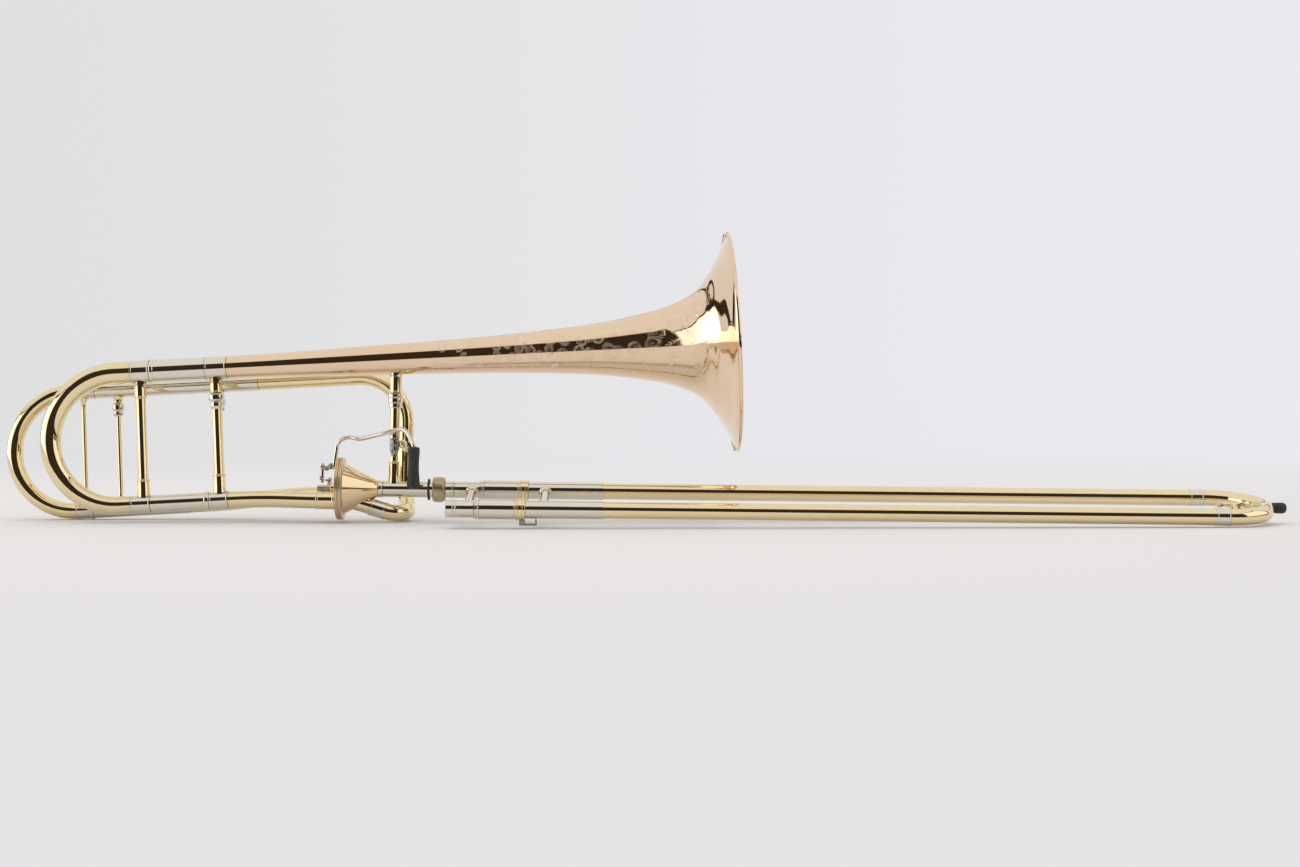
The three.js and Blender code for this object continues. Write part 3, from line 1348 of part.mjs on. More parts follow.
// Outer slide, which runs on the inner tubes as one piece.
{
  const outline = [
    [sleeveStart, outerSleeveRadius],
    [sleeveEnd, outerSleeveRadius],
    [sleeveEnd, outerTubeRadius],
    [slideTubeEnd, outerTubeRadius],
    [slideTubeEnd, slideFerruleRadius],
    [slideFerruleEnd, slideFerruleRadius],
  ];
  addPiece(slidePlane, "outer_slide_far", "brass", sleeve(outline, outerTubeBore));
  const stud = upright(rod(outerTubeRadius - seat, lockStudTop, lockStudRadius)).rotateX(
    Math.PI + radians(lockDegrees),
  );
  const near = solidOf(sleeve(outline, outerTubeBore)).add(
    solidOf(stud.translate(-lockStudBehind, 0, 0)),
  );
  addPiece(slidePlane, "outer_slide_near", "brass", near.translate([0, nearY, 0]));
  addPiece(slidePlane, "hand_brace", "nickel", slideBrace(-handBraceBehind, outerSleeveRadius, outerSleeveRadius));

  const bowStart = slideFerruleEnd + seat;
  const bow = new Route(at(bowStart, 0, 0), eastward)
    .straight(slideBowStraight)
    .bend(slideSpacing / 2, -180, upward, bowSteps)
    .straight(slideBowStraight);
  const bore = rodOf(
    new Route(at(bowStart - overrun, 0, 0), eastward)
      .straight(overrun + slideBowStraight)
      .bend(slideSpacing / 2, -180, upward, bowSteps)
      .straight(slideBowStraight + overrun),
    outerTubeRadius - slideBowWall,
    tubeSides,
  );
  const pivot = at(slideFerruleEnd + keyPivotPast, nearY + keyPivotHeight, 0);
  const tilted = (solid) => solid.translate([0, -nearY, 0]).rotate([keyTiltDegrees, 0, 0]).translate([0, nearY, 0]);
  const earGap = keyBarrelLength / 2 + seat;
  const ear = (side) => {
    const [a, b] = [side * earGap, side * (earGap + keyEarThickness)];
    return solidOf(
      boxAt(
        at(pivot.x - keyEarLength / 2, nearY + keyEarFoot, Math.min(a, b)),
        at(pivot.x + keyEarLength / 2, pivot.y + keyEarLength / 2, Math.max(a, b)),
      ),
    );
  };
  const pin = upright(rod(-earGap - keyEarThickness / 2, earGap + keyEarThickness / 2, keyPinRadius));
  const cupX = pivot.x + keyCupReach;
  const nippleTop = nearY + keyNippleHeight;
  const nipple = across(rod(nearY + outerTubeRadius - slideBowWall / 2, nippleTop, keyNippleRadius, rodSides));
  const drain = across(rod(nearY, nippleTop + overrun, keyNippleBore));
  const bowShape = solidOf(rodOf(bow, outerTubeRadius, tubeSides))
    .add(tilted(ear(-1)))
    .add(tilted(ear(1)))
    .add(tilted(solidOf(nipple.translate(cupX, 0, 0))))
    .subtract(solidOf(bore))
    .subtract(tilted(solidOf(drain.translate(cupX, 0, 0))))
    .add(tilted(solidOf(pin.translate(pivot.x, pivot.y, 0))));
  addPiece(slidePlane, "slide_bow", "brass", bowShape);

  const corkLow = nippleTop + seat;
  const corkTop = corkLow + keyCorkThickness;
  const cork = across(rod(corkLow, corkTop, keyCorkRadius, tubeSides));
  addPiece(slidePlane, "water_key_cork", "cork", tilted(solidOf(cork.translate(cupX, 0, 0))));
  const cupLow = corkTop + seat;
  const barHigh = cupLow + keyBarThickness;
  const cup = across(rod(cupLow, barHigh, keyCupRadius, tubeSides)).translate(cupX, 0, 0);
  const pad = across(rod(cupLow, barHigh, keyPadRadius, tubeSides)).translate(pivot.x - keyPadReach, 0, 0);
  const bar = boxAt(
    at(pivot.x - keyPadReach, cupLow, -keyBarWidth / 2),
    at(cupX, barHigh, keyBarWidth / 2),
  );
  const barrel = upright(rod(-keyBarrelLength / 2, keyBarrelLength / 2, keyBarrelRadius, tubeSides));
  const hole = upright(rod(-keyBarrelLength, keyBarrelLength, keyPinRadius + running));
  const key = solidOf(bar)
    .add(solidOf(cup))
    .add(solidOf(pad))
    .add(solidOf(barrel.translate(pivot.x, pivot.y, 0)))
    .subtract(solidOf(hole.translate(pivot.x, pivot.y, 0)));
  addPiece(slidePlane, "water_key", "brass", tilted(key));

  const bumperStart = bowStart + slideBowStraight + slideSpacing / 2 + outerTubeRadius + seat;
  const bumperEnd = bumperStart + bumperLength;
  const edge = bumperLength / 10;
  const bumper = solidTurned(
    [
      [bumperStart, bumperRadius * bumperEndShare],
      [bumperStart + edge, bumperRadius],
      [bumperEnd - edge, bumperRadius],
      [bumperEnd, bumperRadius * bumperEndShare],
    ],
    tubeSides,
  );
  addPiece(slidePlane, "slide_bumper", "rubber", bumper.translate(0, nearY / 2, 0));
}

// The part stands on its lowest point, with its box centred over the origin.
part.updateMatrixWorld(true);
const box = new THREE.Box3().setFromObject(part, true);
const middle = box.getCenter(at(0, 0, 0));
design.position.set(-middle.x, -middle.y, -box.min.z);
part.updateMatrixWorld(true);

export default part;
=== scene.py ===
"""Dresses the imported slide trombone: smooth polished tubes, bell, braces, valve and slide.

All sizes are in millimetres in the instrument's own nested frames, as in the part's source.
A frame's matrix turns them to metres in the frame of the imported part.
"""

from __future__ import annotations

import logging
import math
from dataclasses import dataclass, field
from enum import Enum
from functools import partial

import bpy
from mathutils import Matrix, Vector


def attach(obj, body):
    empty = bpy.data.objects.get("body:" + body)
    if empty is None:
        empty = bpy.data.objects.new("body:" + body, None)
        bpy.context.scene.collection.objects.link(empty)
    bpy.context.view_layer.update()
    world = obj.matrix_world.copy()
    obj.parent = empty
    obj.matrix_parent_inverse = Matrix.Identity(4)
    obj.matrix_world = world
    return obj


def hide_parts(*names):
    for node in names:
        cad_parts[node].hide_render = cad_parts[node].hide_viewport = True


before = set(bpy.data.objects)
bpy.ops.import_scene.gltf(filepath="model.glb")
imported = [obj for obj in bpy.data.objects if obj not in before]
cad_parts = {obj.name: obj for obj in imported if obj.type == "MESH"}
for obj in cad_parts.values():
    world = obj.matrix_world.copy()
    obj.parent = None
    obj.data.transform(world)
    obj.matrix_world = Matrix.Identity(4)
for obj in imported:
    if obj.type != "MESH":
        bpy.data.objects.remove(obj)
log = logging.getLogger("trombone")

Outline = list[tuple[float, float]]
Triple = tuple[float, float, float]
Piece = bpy.types.Object
AHEAD = Vector((1, 0, 0))
SIDEWAYS = Vector((0, 1, 0))


def rotation(degrees: float, axis: str) -> Matrix:
    """Gives a turn about an axis."""
    return Matrix.Rotation(math.radians(degrees), 4, axis)


def shift(x: float, y: float, z: float) -> Matrix:
    """Gives a move."""
    return Matrix.Translation((x, y, z))


class Plane(Enum):
    """The frames that the pieces are built in."""

    BELL = "bell"
    SLIDE = "slide"
    LEGS = "legs"
    F_LEGS = "f_legs"
    KEY = "key"


class Lie(Enum):
    """Which way a turned piece points in its frame, by its turn from +Z."""

    ALONG = (90.0, "Y")
    UPRIGHT = (0.0, "Z")
    ACROSS = (-90.0, "X")


@dataclass(frozen=True)
class Layout:
    """How the frames nest, as in the part's source."""

    origin: Triple = (-35.318, -14.08, 29.197)
    pitch: float = 0.72
    bell_lean: float = 6.3
    slide_roll: float = 8.4
    leg_rise: float = 3.63
    bow_behind: float = 464.1
    bow_above: float = 45.1
    f_offset: float = 45.5
    near_tube: float = -86.0
    key_tilt: float = 38.0

    def matrix(self, plane: Plane) -> Matrix:
        """Gives the matrix of a frame, from its millimetres to metres.

        Args:
            plane: The frame that is asked for.

        Returns:
            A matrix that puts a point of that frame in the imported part's frame.
        """
        on_slide = plane in (Plane.SLIDE, Plane.KEY)
        turned = shift(*self.origin) @ rotation(self.pitch, "Y")
        turned = turned @ rotation(self.slide_roll if on_slide else -self.bell_lean, "X")
        if plane in (Plane.LEGS, Plane.F_LEGS):
            turned = turned @ self.legs_in_bell()
        if plane is Plane.F_LEGS:
            turned = turned @ shift(0, self.f_offset, 0)
        if plane is Plane.KEY:
            near = self.near_tube
            turned = turned @ shift(0, near, 0) @ rotation(self.key_tilt, "X") @ shift(0, -near, 0)
        return Matrix.Scale(0.001, 4) @ turned

    def legs_in_bell(self) -> Matrix:
        """Gives the frame of the legs inside the plane of the bell."""
        return shift(-self.bow_behind, 0, self.bow_above) @ rotation(-self.leg_rise, "Y")


LAYOUT = Layout()


class Sock:
    """A shader socket or number that can be used in Python sums."""

    def __init__(self, shop: "Shader", value: object) -> None:
        """Keeps the shader, and a node's output socket or a number."""
        self.shop = shop
        self.value = value

    def call(self, operation: str, other: object = 0.0) -> "Sock":
        """Uses a Math operation by its name, with a second value where it has one."""
        return self.shop.math(operation, self, other)

    def ramp(self, low: float, high: float) -> "Sock":
        """Gives a smooth step from 0 at low to 1 at high."""
        step = {"interpolation_type": "SMOOTHSTEP"}
        return self.shop.add("ShaderNodeMapRange", step, {0: self, 1: low, 2: high})

    def __add__(self, other: object) -> "Sock":
        """Adds."""
        return self.call("ADD", other)

    def __sub__(self, other: object) -> "Sock":
        """Subtracts."""
        return self.call("SUBTRACT", other)

    def __rsub__(self, other: object) -> "Sock":
        """Is subtracted from the left value."""
        return self.shop.math("SUBTRACT", other, self)

    def __mul__(self, other: object) -> "Sock":
        """Multiplies."""
        return self.call("MULTIPLY", other)

    def __truediv__(self, other: object) -> "Sock":
        """Divides."""
        return self.call("DIVIDE", other)


class Shader:
    """Builds the node tree of a material or of the world."""

    def __init__(self, owner: bpy.types.Material | bpy.types.World) -> None:
        """Starts from an empty tree.

        Args:
            owner: The material or the world.
        """
        owner.use_nodes = True
        self.tree = owner.node_tree
        self.tree.nodes.clear()

    def node(self, kind: str, settings: dict, inputs: dict) -> bpy.types.Node:
        """Adds a node.

        Args:
            kind: The node's type.
            settings: Its settings, set first.
            inputs: Values or links of its sockets, by name or number.

        Returns:
            The node.
        """
        made = self.tree.nodes.new(kind)
        for key, value in settings.items():
            setattr(made, key, value)
        for key, value in inputs.items():
            value = value.value if isinstance(value, Sock) else value
            if isinstance(value, bpy.types.NodeSocket):
                self.tree.links.new(value, made.inputs[key])
            else:
                made.inputs[key].default_value = value
        return made

    def add(self, kind: str, settings: dict, inputs: dict, output: int | str = 0) -> Sock:
        """Adds a node and gives one of its outputs."""
        return Sock(self, self.node(kind, settings, inputs).outputs[output])

    def math(self, operation: str, first: object, second: object) -> Sock:
        """Adds a Math node for two values."""
        return self.add("ShaderNodeMath", {"operation": operation}, {0: first, 1: second})

    def vector(self, operation: str, first: Sock, second: dict) -> Sock:
        """Adds a Vector Math node; the second value comes with its socket's number."""
        return self.add("ShaderNodeVectorMath", {"operation": operation}, {0: first, **second})

    def noise(self, place: Sock, scale: float, detail: float, size: str = "3D", output: int = 0) -> Sock:
        """Adds a noise of two or three dimensions."""
        inputs = {"Vector": place, "Scale": scale, "Detail": detail}
        return self.add("ShaderNodeTexNoise", {"noise_dimensions": size}, inputs, output)

    def mix(self, share: Sock, first: Sock | Triple, second: Sock | Triple) -> Sock:
        """Mixes two colours, from the first at 0 to the second at 1."""
        ends = [end if isinstance(end, Sock) else (*end, 1.0) for end in (first, second)]
        return self.add("ShaderNodeMix", {"data_type": "RGBA"}, {0: share, 6: ends[0], 7: ends[1]}, 2)

    def split(self, vector: Sock) -> list[Sock]:
        """Gives a vector's three numbers."""
        return [Sock(self, out) for out in self.node("ShaderNodeSeparateXYZ", {}, {0: vector}).outputs]

    def place(self, kind: str = "Object") -> Sock:
        """Gives the place or direction that is shaded."""
        return self.add("ShaderNodeTexCoord", {}, {}, kind)

    def bump(self, strength: float, distance: float, height: Sock, **normal: Sock) -> Sock:
        """Adds a bump, on another bump where it is given."""
        inputs = {"Strength": strength, "Distance": distance, "Height": height, **normal}
        return self.add("ShaderNodeBump", {}, inputs)

    def close(self, surface: bpy.types.Node, kind: str = "Material") -> None:
        """Sends a surface to the output."""
        self.node(f"ShaderNodeOutput{kind}", {}, {"Surface": surface.outputs[0]})


@dataclass(frozen=True)
class Finish:
    """A surface whose colour goes cloudily from one tone to another."""

    name: str
    colour: Triple
    shade: Triple
    roughness: float

    def build(self) -> bpy.types.Material:
        """Makes the material.

        Returns:
            The material.
        """
        material = bpy.data.materials.new(self.name)
        shop = Shader(material)
        inputs = self.surface(shop, shop.place())
        shop.close(shop.node("ShaderNodeBsdfPrincipled", {}, inputs))
        return material

    def surface(self, shop: Shader, place: Sock) -> dict:
        """Gives the surface's inputs; each kind of finish has its own."""
        raise NotImplementedError


@dataclass(frozen=True)
class MetalFinish(Finish):
    """A polished metal, with faint handling marks under a clear coat."""

    coat: float = 0.0
    grain: float = 0.0
    grain_size: float = 2200.0

    def surface(self, shop: Shader, place: Sock) -> dict:
        """Gives the metal's inputs.

        Args:
            shop: The material's shader.
            place: The place that is shaded.

        Returns:
            The inputs by name.
        """
        colour = shop.mix(shop.noise(place, 14.0, 5.0).ramp(0.35, 0.75) * 0.55, self.colour, self.shade)
        roughness = shop.noise(place, 95.0, 6.0).ramp(0.5, 0.78) * 0.035 + self.roughness
        bump = shop.bump(max(self.grain, 0.015), 0.0002, shop.noise(place, self.grain_size, 2.0))
        cut = self.engraving(shop)
        if cut is not None:
            colour = shop.mix(cut * 0.2, colour, (0.95, 0.80, 0.62))
            roughness = roughness + cut * 0.18
            bump = shop.bump(0.6, -0.0003, cut, Normal=bump)
        return {
            "Base Color": colour,
            "Metallic": 1.0,
            "Roughness": roughness,
            "Normal": bump,
            "Coat Weight": self.coat,
            "Coat Roughness": 0.04,
        }

    def engraving(self, shop: Shader) -> Sock | None:
        """Gives the mask of cut lines; a plain metal has none."""
        return None


@dataclass(frozen=True)
class EngravedFinish(MetalFinish):
    """A polished metal with cut scrolls and leaves round one side of the bell."""

    cells: float = 12.0

    def engraving(self, shop: Shader) -> Sock | None:
        """Draws small scrolls and twigs in cells, closer together towards the mouth.

        Args:
            shop: The material's shader.

        Returns:
            1 on a cut line, 0 elsewhere.
        """
        across = shop.add("ShaderNodeUVMap", {"uv_map": "Bell"}, {})
        drift = shop.vector("SCALE", shop.noise(across, 7.0, 1.0, "2D", 1), {3: 0.03})
        place = shop.vector("ADD", across, {1: drift})
        cell = shop.node(
            "ShaderNodeTexVoronoi",
            {"voronoi_dimensions": "2D"},
            {"Vector": place, "Scale": self.cells, "Randomness": 0.75},
        )
        middle = shop.vector("SCALE", Sock(shop, cell.outputs["Position"]), {3: self.cells})
        dx, dy, _ = shop.split(shop.vector("SUBTRACT", shop.vector("SCALE", place, {3: self.cells}), {1: middle}))
        chance = shop.node("ShaderNodeSeparateColor", {}, {0: cell.outputs["Color"]})
        mirror, start, lot = (Sock(shop, out) for out in chance.outputs)
        reach = (dx * dx + dy * dy).call("SQRT") + 0.02
        angle = shop.math("ARCTAN2", dy * (mirror - 0.5).call("SIGN"), dx) / math.tau
        turn = angle + reach.call("LOGARITHM", math.e) * 0.62 + start
        curl = (turn - turn.call("FLOOR") - 0.5).call("ABSOLUTE")
        leaf = ((angle * 9.0 + reach * 5.0) * math.tau).call("SINE") * 0.07
        scroll = (1.0 - (curl - leaf).ramp(0.015, 0.045)) * (1.0 - reach.ramp(0.44, 0.52))
        twig = 1.0 - ((angle * 7.0 - reach * 4.0) * math.tau).call("SINE").call("ABSOLUTE").ramp(0.1, 0.25)
        twig = twig * reach.ramp(0.24, 0.3) * (1.0 - reach.ramp(0.42, 0.5))
        edge = shop.noise(across, 6.0, 2.0, "2D")
        u, v, _ = shop.split(across)
        lines = scroll.call("MAXIMUM", twig * 0.8)
        lines = lines * (v.ramp(2.4, 3.5) * 0.6 + 0.45 - lot).ramp(-0.02, 0.02)
        away = (u.call("ABSOLUTE") + edge * 0.1).ramp(0.29, 0.23)
        band = (v + edge * 0.2).ramp(2.45, 2.75) * (v + edge * 0.04).ramp(4.29, 4.23)
        return lines * away * band


@dataclass(frozen=True)
class SoftFinish(Finish):
    """Rubber or cork."""

    scale: float
    depth: float

    def surface(self, shop: Shader, place: Sock) -> dict:
        """Gives the soft surface's inputs.

        Args:
            shop: The material's shader.
            place: The place that is shaded.

        Returns:
            The inputs by name.
        """
        worn = shop.noise(place, 120.0, 3.0)
        return {
            "Base Color": shop.mix(worn.ramp(0.45, 0.8) * 0.6, self.colour, self.shade),
            "Roughness": worn * 0.15 + self.roughness,
            "Normal": shop.bump(self.depth, 0.0004, shop.noise(place, self.scale, 4.0)),
        }


class Finishes(Enum):
    """The finishes of the instrument, each with the record's slot."""

    ROSE = ("rose_brass", EngravedFinish("Rose brass", (0.86, 0.665, 0.475), (0.82, 0.61, 0.42), 0.045, 0.3))
    YELLOW = ("yellow_brass", MetalFinish("Yellow brass", (0.88, 0.745, 0.47), (0.83, 0.67, 0.39), 0.045, 0.3))
    WARM = ("yellow_brass", MetalFinish("Warm brass", (0.85, 0.67, 0.41), (0.79, 0.60, 0.34), 0.045, 0.3))
    BRUSHED = ("yellow_brass", MetalFinish("Brushed brass", (0.74, 0.58, 0.38), (0.66, 0.51, 0.32), 0.3, 0.2, 0.25))
    SATIN = ("satin_brass", MetalFinish("Turned brass", (0.52, 0.46, 0.27), (0.44, 0.38, 0.21), 0.28, 0.1, 0.3))
    NICKEL = ("nickel_silver", MetalFinish("Nickel silver", (0.78, 0.73, 0.62), (0.73, 0.67, 0.55), 0.045, 0.2))
    DARK = ("dark_nickel", MetalFinish("Dark nickel", (0.34, 0.34, 0.31), (0.26, 0.26, 0.24), 0.2, 0.0, 0.2))
    # The valve steel's brownish tone is partly a painted reflection of the surrounding brass, laid over the steel's own
    # grey.
    STEEL = ("valve_steel", MetalFinish("Valve steel with painted brass reflection", (0.56, 0.49, 0.41), (0.46, 0.39, 0.32), 0.22, 0.0, 0.1))
    RUBBER = ("black_rubber", SoftFinish("Black rubber", (0.022, 0.023, 0.025), (0.05, 0.05, 0.052), 0.5, 3500.0, 0.25))
    CORK = ("cork", SoftFinish("Cork", (0.45, 0.27, 0.13), (0.62, 0.42, 0.24), 0.75, 2500.0, 0.6))

    @property
    def slot(self) -> str:
        """The record's material slot."""
        return self.value[0]

    def material(self) -> bpy.types.Material:
        """Gives the material, made at its first use."""
        return bpy.data.materials.get(self.value[1].name) or self.value[1].build()


@dataclass
class Station:
    """A place and a direction on a tube's centre line."""

    place: Vector
    direction: Vector


class Path:
    """A tube's centre line: straight runs, bends and smooth sweeps."""

    def __init__(self, place: tuple | Vector, direction: Vector = AHEAD) -> None:
        """Starts the path.

        Args:
            place: The first place.
            direction: The first direction.
        """
        self.place = Vector(place)
        self.direction = direction.normalized()
        self.stations: list[Station] = []
        self.mark()

    def mark(self) -> "Path":
        """Adds a station here."""
        self.stations.append(Station(self.place.copy(), self.direction.normalized()))
        return self

    def straight(self, length: float, steps: int = 1) -> "Path":
        """Goes straight on.

        Args:
            length: How far.
            steps: In how many steps.

        Returns:
            The path itself.
        """
        for _ in range(steps):
            self.place = self.place + self.direction * (length / steps)
            self.mark()
        return self

    def bend(self, radius: float, degrees: float, axis: Vector, steps: int) -> "Path":
        """Bends round an axis.

        Args:
            radius: The bend's radius.
            degrees: How far it turns, by the right-hand rule.
            axis: The axis it turns round.
            steps: In how many steps.

        Returns:
            The path itself.
        """
        inward = axis.cross(self.direction).normalized() * math.copysign(1.0, degrees)
        centre = self.place + inward * radius
        turn = Matrix.Rotation(math.radians(degrees) / steps, 3, axis)
        for _ in range(steps):
            self.place = centre + turn @ (self.place - centre)
            self.direction = turn @ self.direction
            self.mark()
        return self

    def sweep(self, place: tuple, direction: Vector, pull: float, steps: int) -> "Path":
        """Runs smoothly to a new place and direction.

        Args:
            place: Where it ends.
            direction: Its direction there.
            pull: How long it keeps to each end's direction.
            steps: In how many steps.

        Returns:
            The path itself.
        """
        end = Vector(place)
        a, b, c, d = self.place, self.place + self.direction * pull, end - direction * pull, end
        for i in range(1, steps + 1):
            t = i / steps
            u = 1 - t
            self.place = a * u**3 + b * 3 * u * u * t + c * 3 * u * t * t + d * t**3
            slope = (b - a) * u * u + (c - b) * 2 * u * t + (d - c) * t * t
            self.direction = slope.normalized()
            self.mark()
        return self

    def through(self, places: list[Vector], steps: int) -> "Path":
        """Runs smoothly through places.

        Args:
            places: The places.
            steps: Steps between each two of them.

        Returns:
            The path itself.
        """
        knots = [self.place.copy(), *places]
        spans = [(after - before).length for before, after in zip(knots, knots[1:])]
        slopes = [self.direction.copy()]
        for i in range(1, len(knots) - 1):
            before, after = spans[i - 1], spans[i]
            rise = (knots[i + 1] - knots[i]) * (before / after) + (knots[i] - knots[i - 1]) * (after / before)
            slopes.append(rise / (before + after))
        slopes.append((knots[-1] - knots[-2]) / spans[-1])
        for a, b, m, n, span in zip(knots, knots[1:], slopes, slopes[1:], spans):
            for i in range(1, steps + 1):
                t = i / steps
                s, c = t * t, t * t * t
                bows = m * span * (c - 2 * s + t), n * span * (c - s)
                self.place = a * (2 * c - 3 * s + 1) + bows[0] + b * (3 * s - 2 * c) + bows[1]
                slope = (a - b) * (6 * s - 6 * t) + m * span * (3 * s - 4 * t + 1) + n * span * (3 * s - 2 * t)
                self.direction = slope.normalized()
                self.mark()
        return self


class Bench:
    """Makes pieces by operators in millimetres, then sets them in their frame."""

    def pick(self, *pieces: Piece) -> None:
        """Selects pieces and makes the first one active.

        Args:
            pieces: The pieces.
        """
        bpy.ops.object.select_all(action="DESELECT")
        for piece in pieces:
            piece.select_set(True)
        bpy.context.view_layer.objects.active = pieces[0]

    def edit(self) -> None:
        """Opens the active piece in edit mode, all selected."""
        bpy.ops.object.mode_set(mode="EDIT")
        bpy.ops.mesh.select_all(action="SELECT")

    def start_ring(self, radius: float, sides: int) -> Piece:
        """Adds a circle of some radius and number of edges, and opens it in edit mode."""
        bpy.ops.object.select_all(action="DESELECT")
        bpy.ops.mesh.primitive_circle_add(vertices=sides, radius=radius, location=(0, 0, 0))
        made = bpy.context.object
        self.edit()
        return made

    def weld(self) -> None:
        """Merges doubled places, turns the faces outwards and leaves edit mode."""
        bpy.ops.mesh.select_all(action="SELECT")
        bpy.ops.mesh.remove_doubles(threshold=0.0005)
        bpy.ops.mesh.normals_make_consistent(inside=False)
        bpy.ops.object.mode_set(mode="OBJECT")

    def apply(self) -> None:
        """Moves the active piece's own place, turn and scale into its mesh."""
        bpy.ops.object.transform_apply(location=True, rotation=True, scale=True)

    def turn(self, profile: Outline, sides: int, closed: bool = True) -> Piece:
        """Makes a turned piece along +Z by extruding a circle from ring to ring.

        Args:
            profile: Places along the axis and radii.
            sides: How many edges the circle has.
            closed: Whether the last ring joins the first, as on a bored piece.

        Returns:
            The piece, in object mode.
        """
        along, radius = profile[0]
        made = self.start_ring(radius, sides)
        bpy.ops.transform.translate(value=(0, 0, along))
        if not closed:
            bpy.ops.mesh.edge_face_add()
        for next_along, next_radius in profile[1:] + profile[:closed]:
            bpy.ops.mesh.extrude_region_move(TRANSFORM_OT_translate={"value": (0, 0, next_along - along)})
            k = next_radius / radius
            bpy.ops.transform.resize(value=(k, k, 1), center_override=(0, 0, next_along))
            along, radius = next_along, next_radius
        self.weld()
        return made

    def follow(self, stations: list[Station], radii: list[float], sides: int, capped: bool) -> Piece:
        """Makes a tube or rod by spinning and extruding a circle along a centre line.

        Args:
            stations: The centre line.
            radii: One radius a station.
            sides: How many edges the circle has.
            capped: Whether the ends are closed.

        Returns:
            The piece, in object mode.
        """
        made = self.start_ring(radii[0], sides)
        bpy.ops.object.mode_set(mode="OBJECT")
        made.matrix_world = aim(stations[0].place, stations[0].direction)
        self.apply()
        self.edit()
        if capped:
            bpy.ops.mesh.edge_face_add()
        for before, after, r0, r1 in zip(stations, stations[1:], radii, radii[1:]):
            angle = before.direction.angle(after.direction)
            chord = after.place - before.place
            if angle < 1e-4:
                bpy.ops.mesh.extrude_region_move(TRANSFORM_OT_translate={"value": chord})
            else:
                axis = before.direction.cross(after.direction).normalized()
                reach = chord.length / (2 * math.sin(angle / 2))
                centre = before.place + axis.cross(before.direction).normalized() * reach
                bpy.ops.mesh.spin(steps=1, angle=-angle, center=centre, axis=axis)
                arrived = centre + Matrix.Rotation(angle, 3, axis) @ (before.place - centre)
                bpy.ops.transform.translate(value=after.place - arrived)
            if abs(r1 - r0) > 1e-6:
                k = r1 / r0
                bpy.ops.transform.resize(value=(k, k, k), center_override=after.place)
        self.weld()
        return made

    def modify(self, piece: Piece, kind: str, **settings: object) -> None:
        """Adds a modifier and applies it.

        Args:
            piece: The piece.
            kind: The modifier's type.
            settings: Its settings.
        """
        bpy.context.view_layer.objects.active = piece
        modifier = piece.modifiers.new(kind.title(), kind)
        for key, value in settings.items():
            setattr(modifier, key, value)
        bpy.ops.object.modifier_apply(modifier=modifier.name)

    def soften(self, piece: Piece, width: float) -> None:
        """Rounds a piece's sharp edges."""
        limit = {"limit_method": "ANGLE", "angle_limit": math.radians(38.0), "use_clamp_overlap": True}
        self.modify(piece, "BEVEL", width=width, segments=2, **limit)

    def box(self, low: Triple, high: Triple) -> Piece:
        """Adds a box between two corners.

        Args:
            low: Its lowest corner.
            high: Its highest corner.

        Returns:
            The box.
        """
        bpy.ops.object.select_all(action="DESELECT")
        bpy.ops.mesh.primitive_cube_add(size=1, location=[(a + b) / 2 for a, b in zip(low, high)])
        made = bpy.context.object
        made.scale = [b - a for a, b in zip(low, high)]
        self.apply()
        return made

    def join(self, pieces: list[Piece], soft: float) -> Piece:
        """Joins pieces into the first and rounds its edges.

        Args:
            pieces: The pieces.
            soft: The rounding's width.

        Returns:
            The joined piece.
        """
        self.pick(*pieces)
        bpy.ops.object.join()
        self.soften(pieces[0], soft)
        return pieces[0]

    def move(self, piece: Piece, matrix: Matrix) -> Piece:
        """Moves a piece's mesh.

        Args:
            piece: The piece.
            matrix: The move.

        Returns:
            The piece.
        """
        self.pick(piece)
        piece.matrix_world = matrix @ piece.matrix_world
        self.apply()
        return piece

    def solid(self, profile: Outline, sides: int) -> Piece:
        """Makes a turned piece with no bore.

        Args:
            profile: Places along the axis and radii.
            sides: How many edges go round.

        Returns:
            The piece.
        """
        piece = self.turn(profile, sides, False)
        bpy.context.view_layer.objects.active = piece
        self.edit()
        bpy.ops.mesh.fill_holes(sides=0)
        bpy.ops.mesh.normals_make_consistent(inside=False)
        bpy.ops.object.mode_set(mode="OBJECT")
        return piece

    def knurl(self, piece: Piece, bore: float, ridges: int, depth: float) -> None:
        """Presses flutes into the outside of a turned piece along +Z, between its ridges.

        Args:
            piece: The piece.
            bore: The radius inside which nothing moves.
            ridges: How many ridges go round.
            depth: How deep the flutes are, as a share of the radius.
        """
        bpy.context.view_layer.objects.active = piece
        flutes: dict[float, list[int]] = {}
        for vertex in piece.data.vertices:
            x, y = vertex.co.x, vertex.co.y
            share = round(0.5 - 0.5 * math.cos(ridges * math.atan2(y, x)), 2)
            if math.hypot(x, y) > bore and share > 0.02:
                flutes.setdefault(share, []).append(vertex.index)
        for share, chosen in flutes.items():
            bpy.ops.object.mode_set(mode="EDIT")
            bpy.ops.mesh.select_all(action="DESELECT")
            bpy.ops.object.mode_set(mode="OBJECT")
            for index in chosen:
                piece.data.vertices[index].select = True
            bpy.ops.object.mode_set(mode="EDIT")
            k = 1 - depth * share
            bpy.ops.transform.resize(value=(k, k, 1), center_override=(0, 0, 0))
            bpy.ops.object.mode_set(mode="OBJECT")

    def saddle(self, piece: Piece, height: float, radius: float) -> None:
        """Cuts an upright piece to sit on a tube that runs along X.

        Args:
            piece: The piece.
            height: The height of the tube's axis.
            radius: The tube's radius.
        """
        tube = self.solid([(-radius * 3, radius), (radius * 3, radius)], 96)
        self.move(tube, shift(0, 0, height) @ rotation(90, "Y"))
        self.modify(piece, "BOOLEAN", object=tube, operation="DIFFERENCE", solver="EXACT")
        bpy.data.objects.remove(tube, do_unlink=True)


BENCH = Bench()


def aim(place: Vector, direction: Vector) -> Matrix:
    """Gives the matrix that sets a piece's +Z along a direction at a place."""
    return Matrix.Translation(place) @ direction.to_track_quat("Z", "Y").to_matrix().to_4x4()


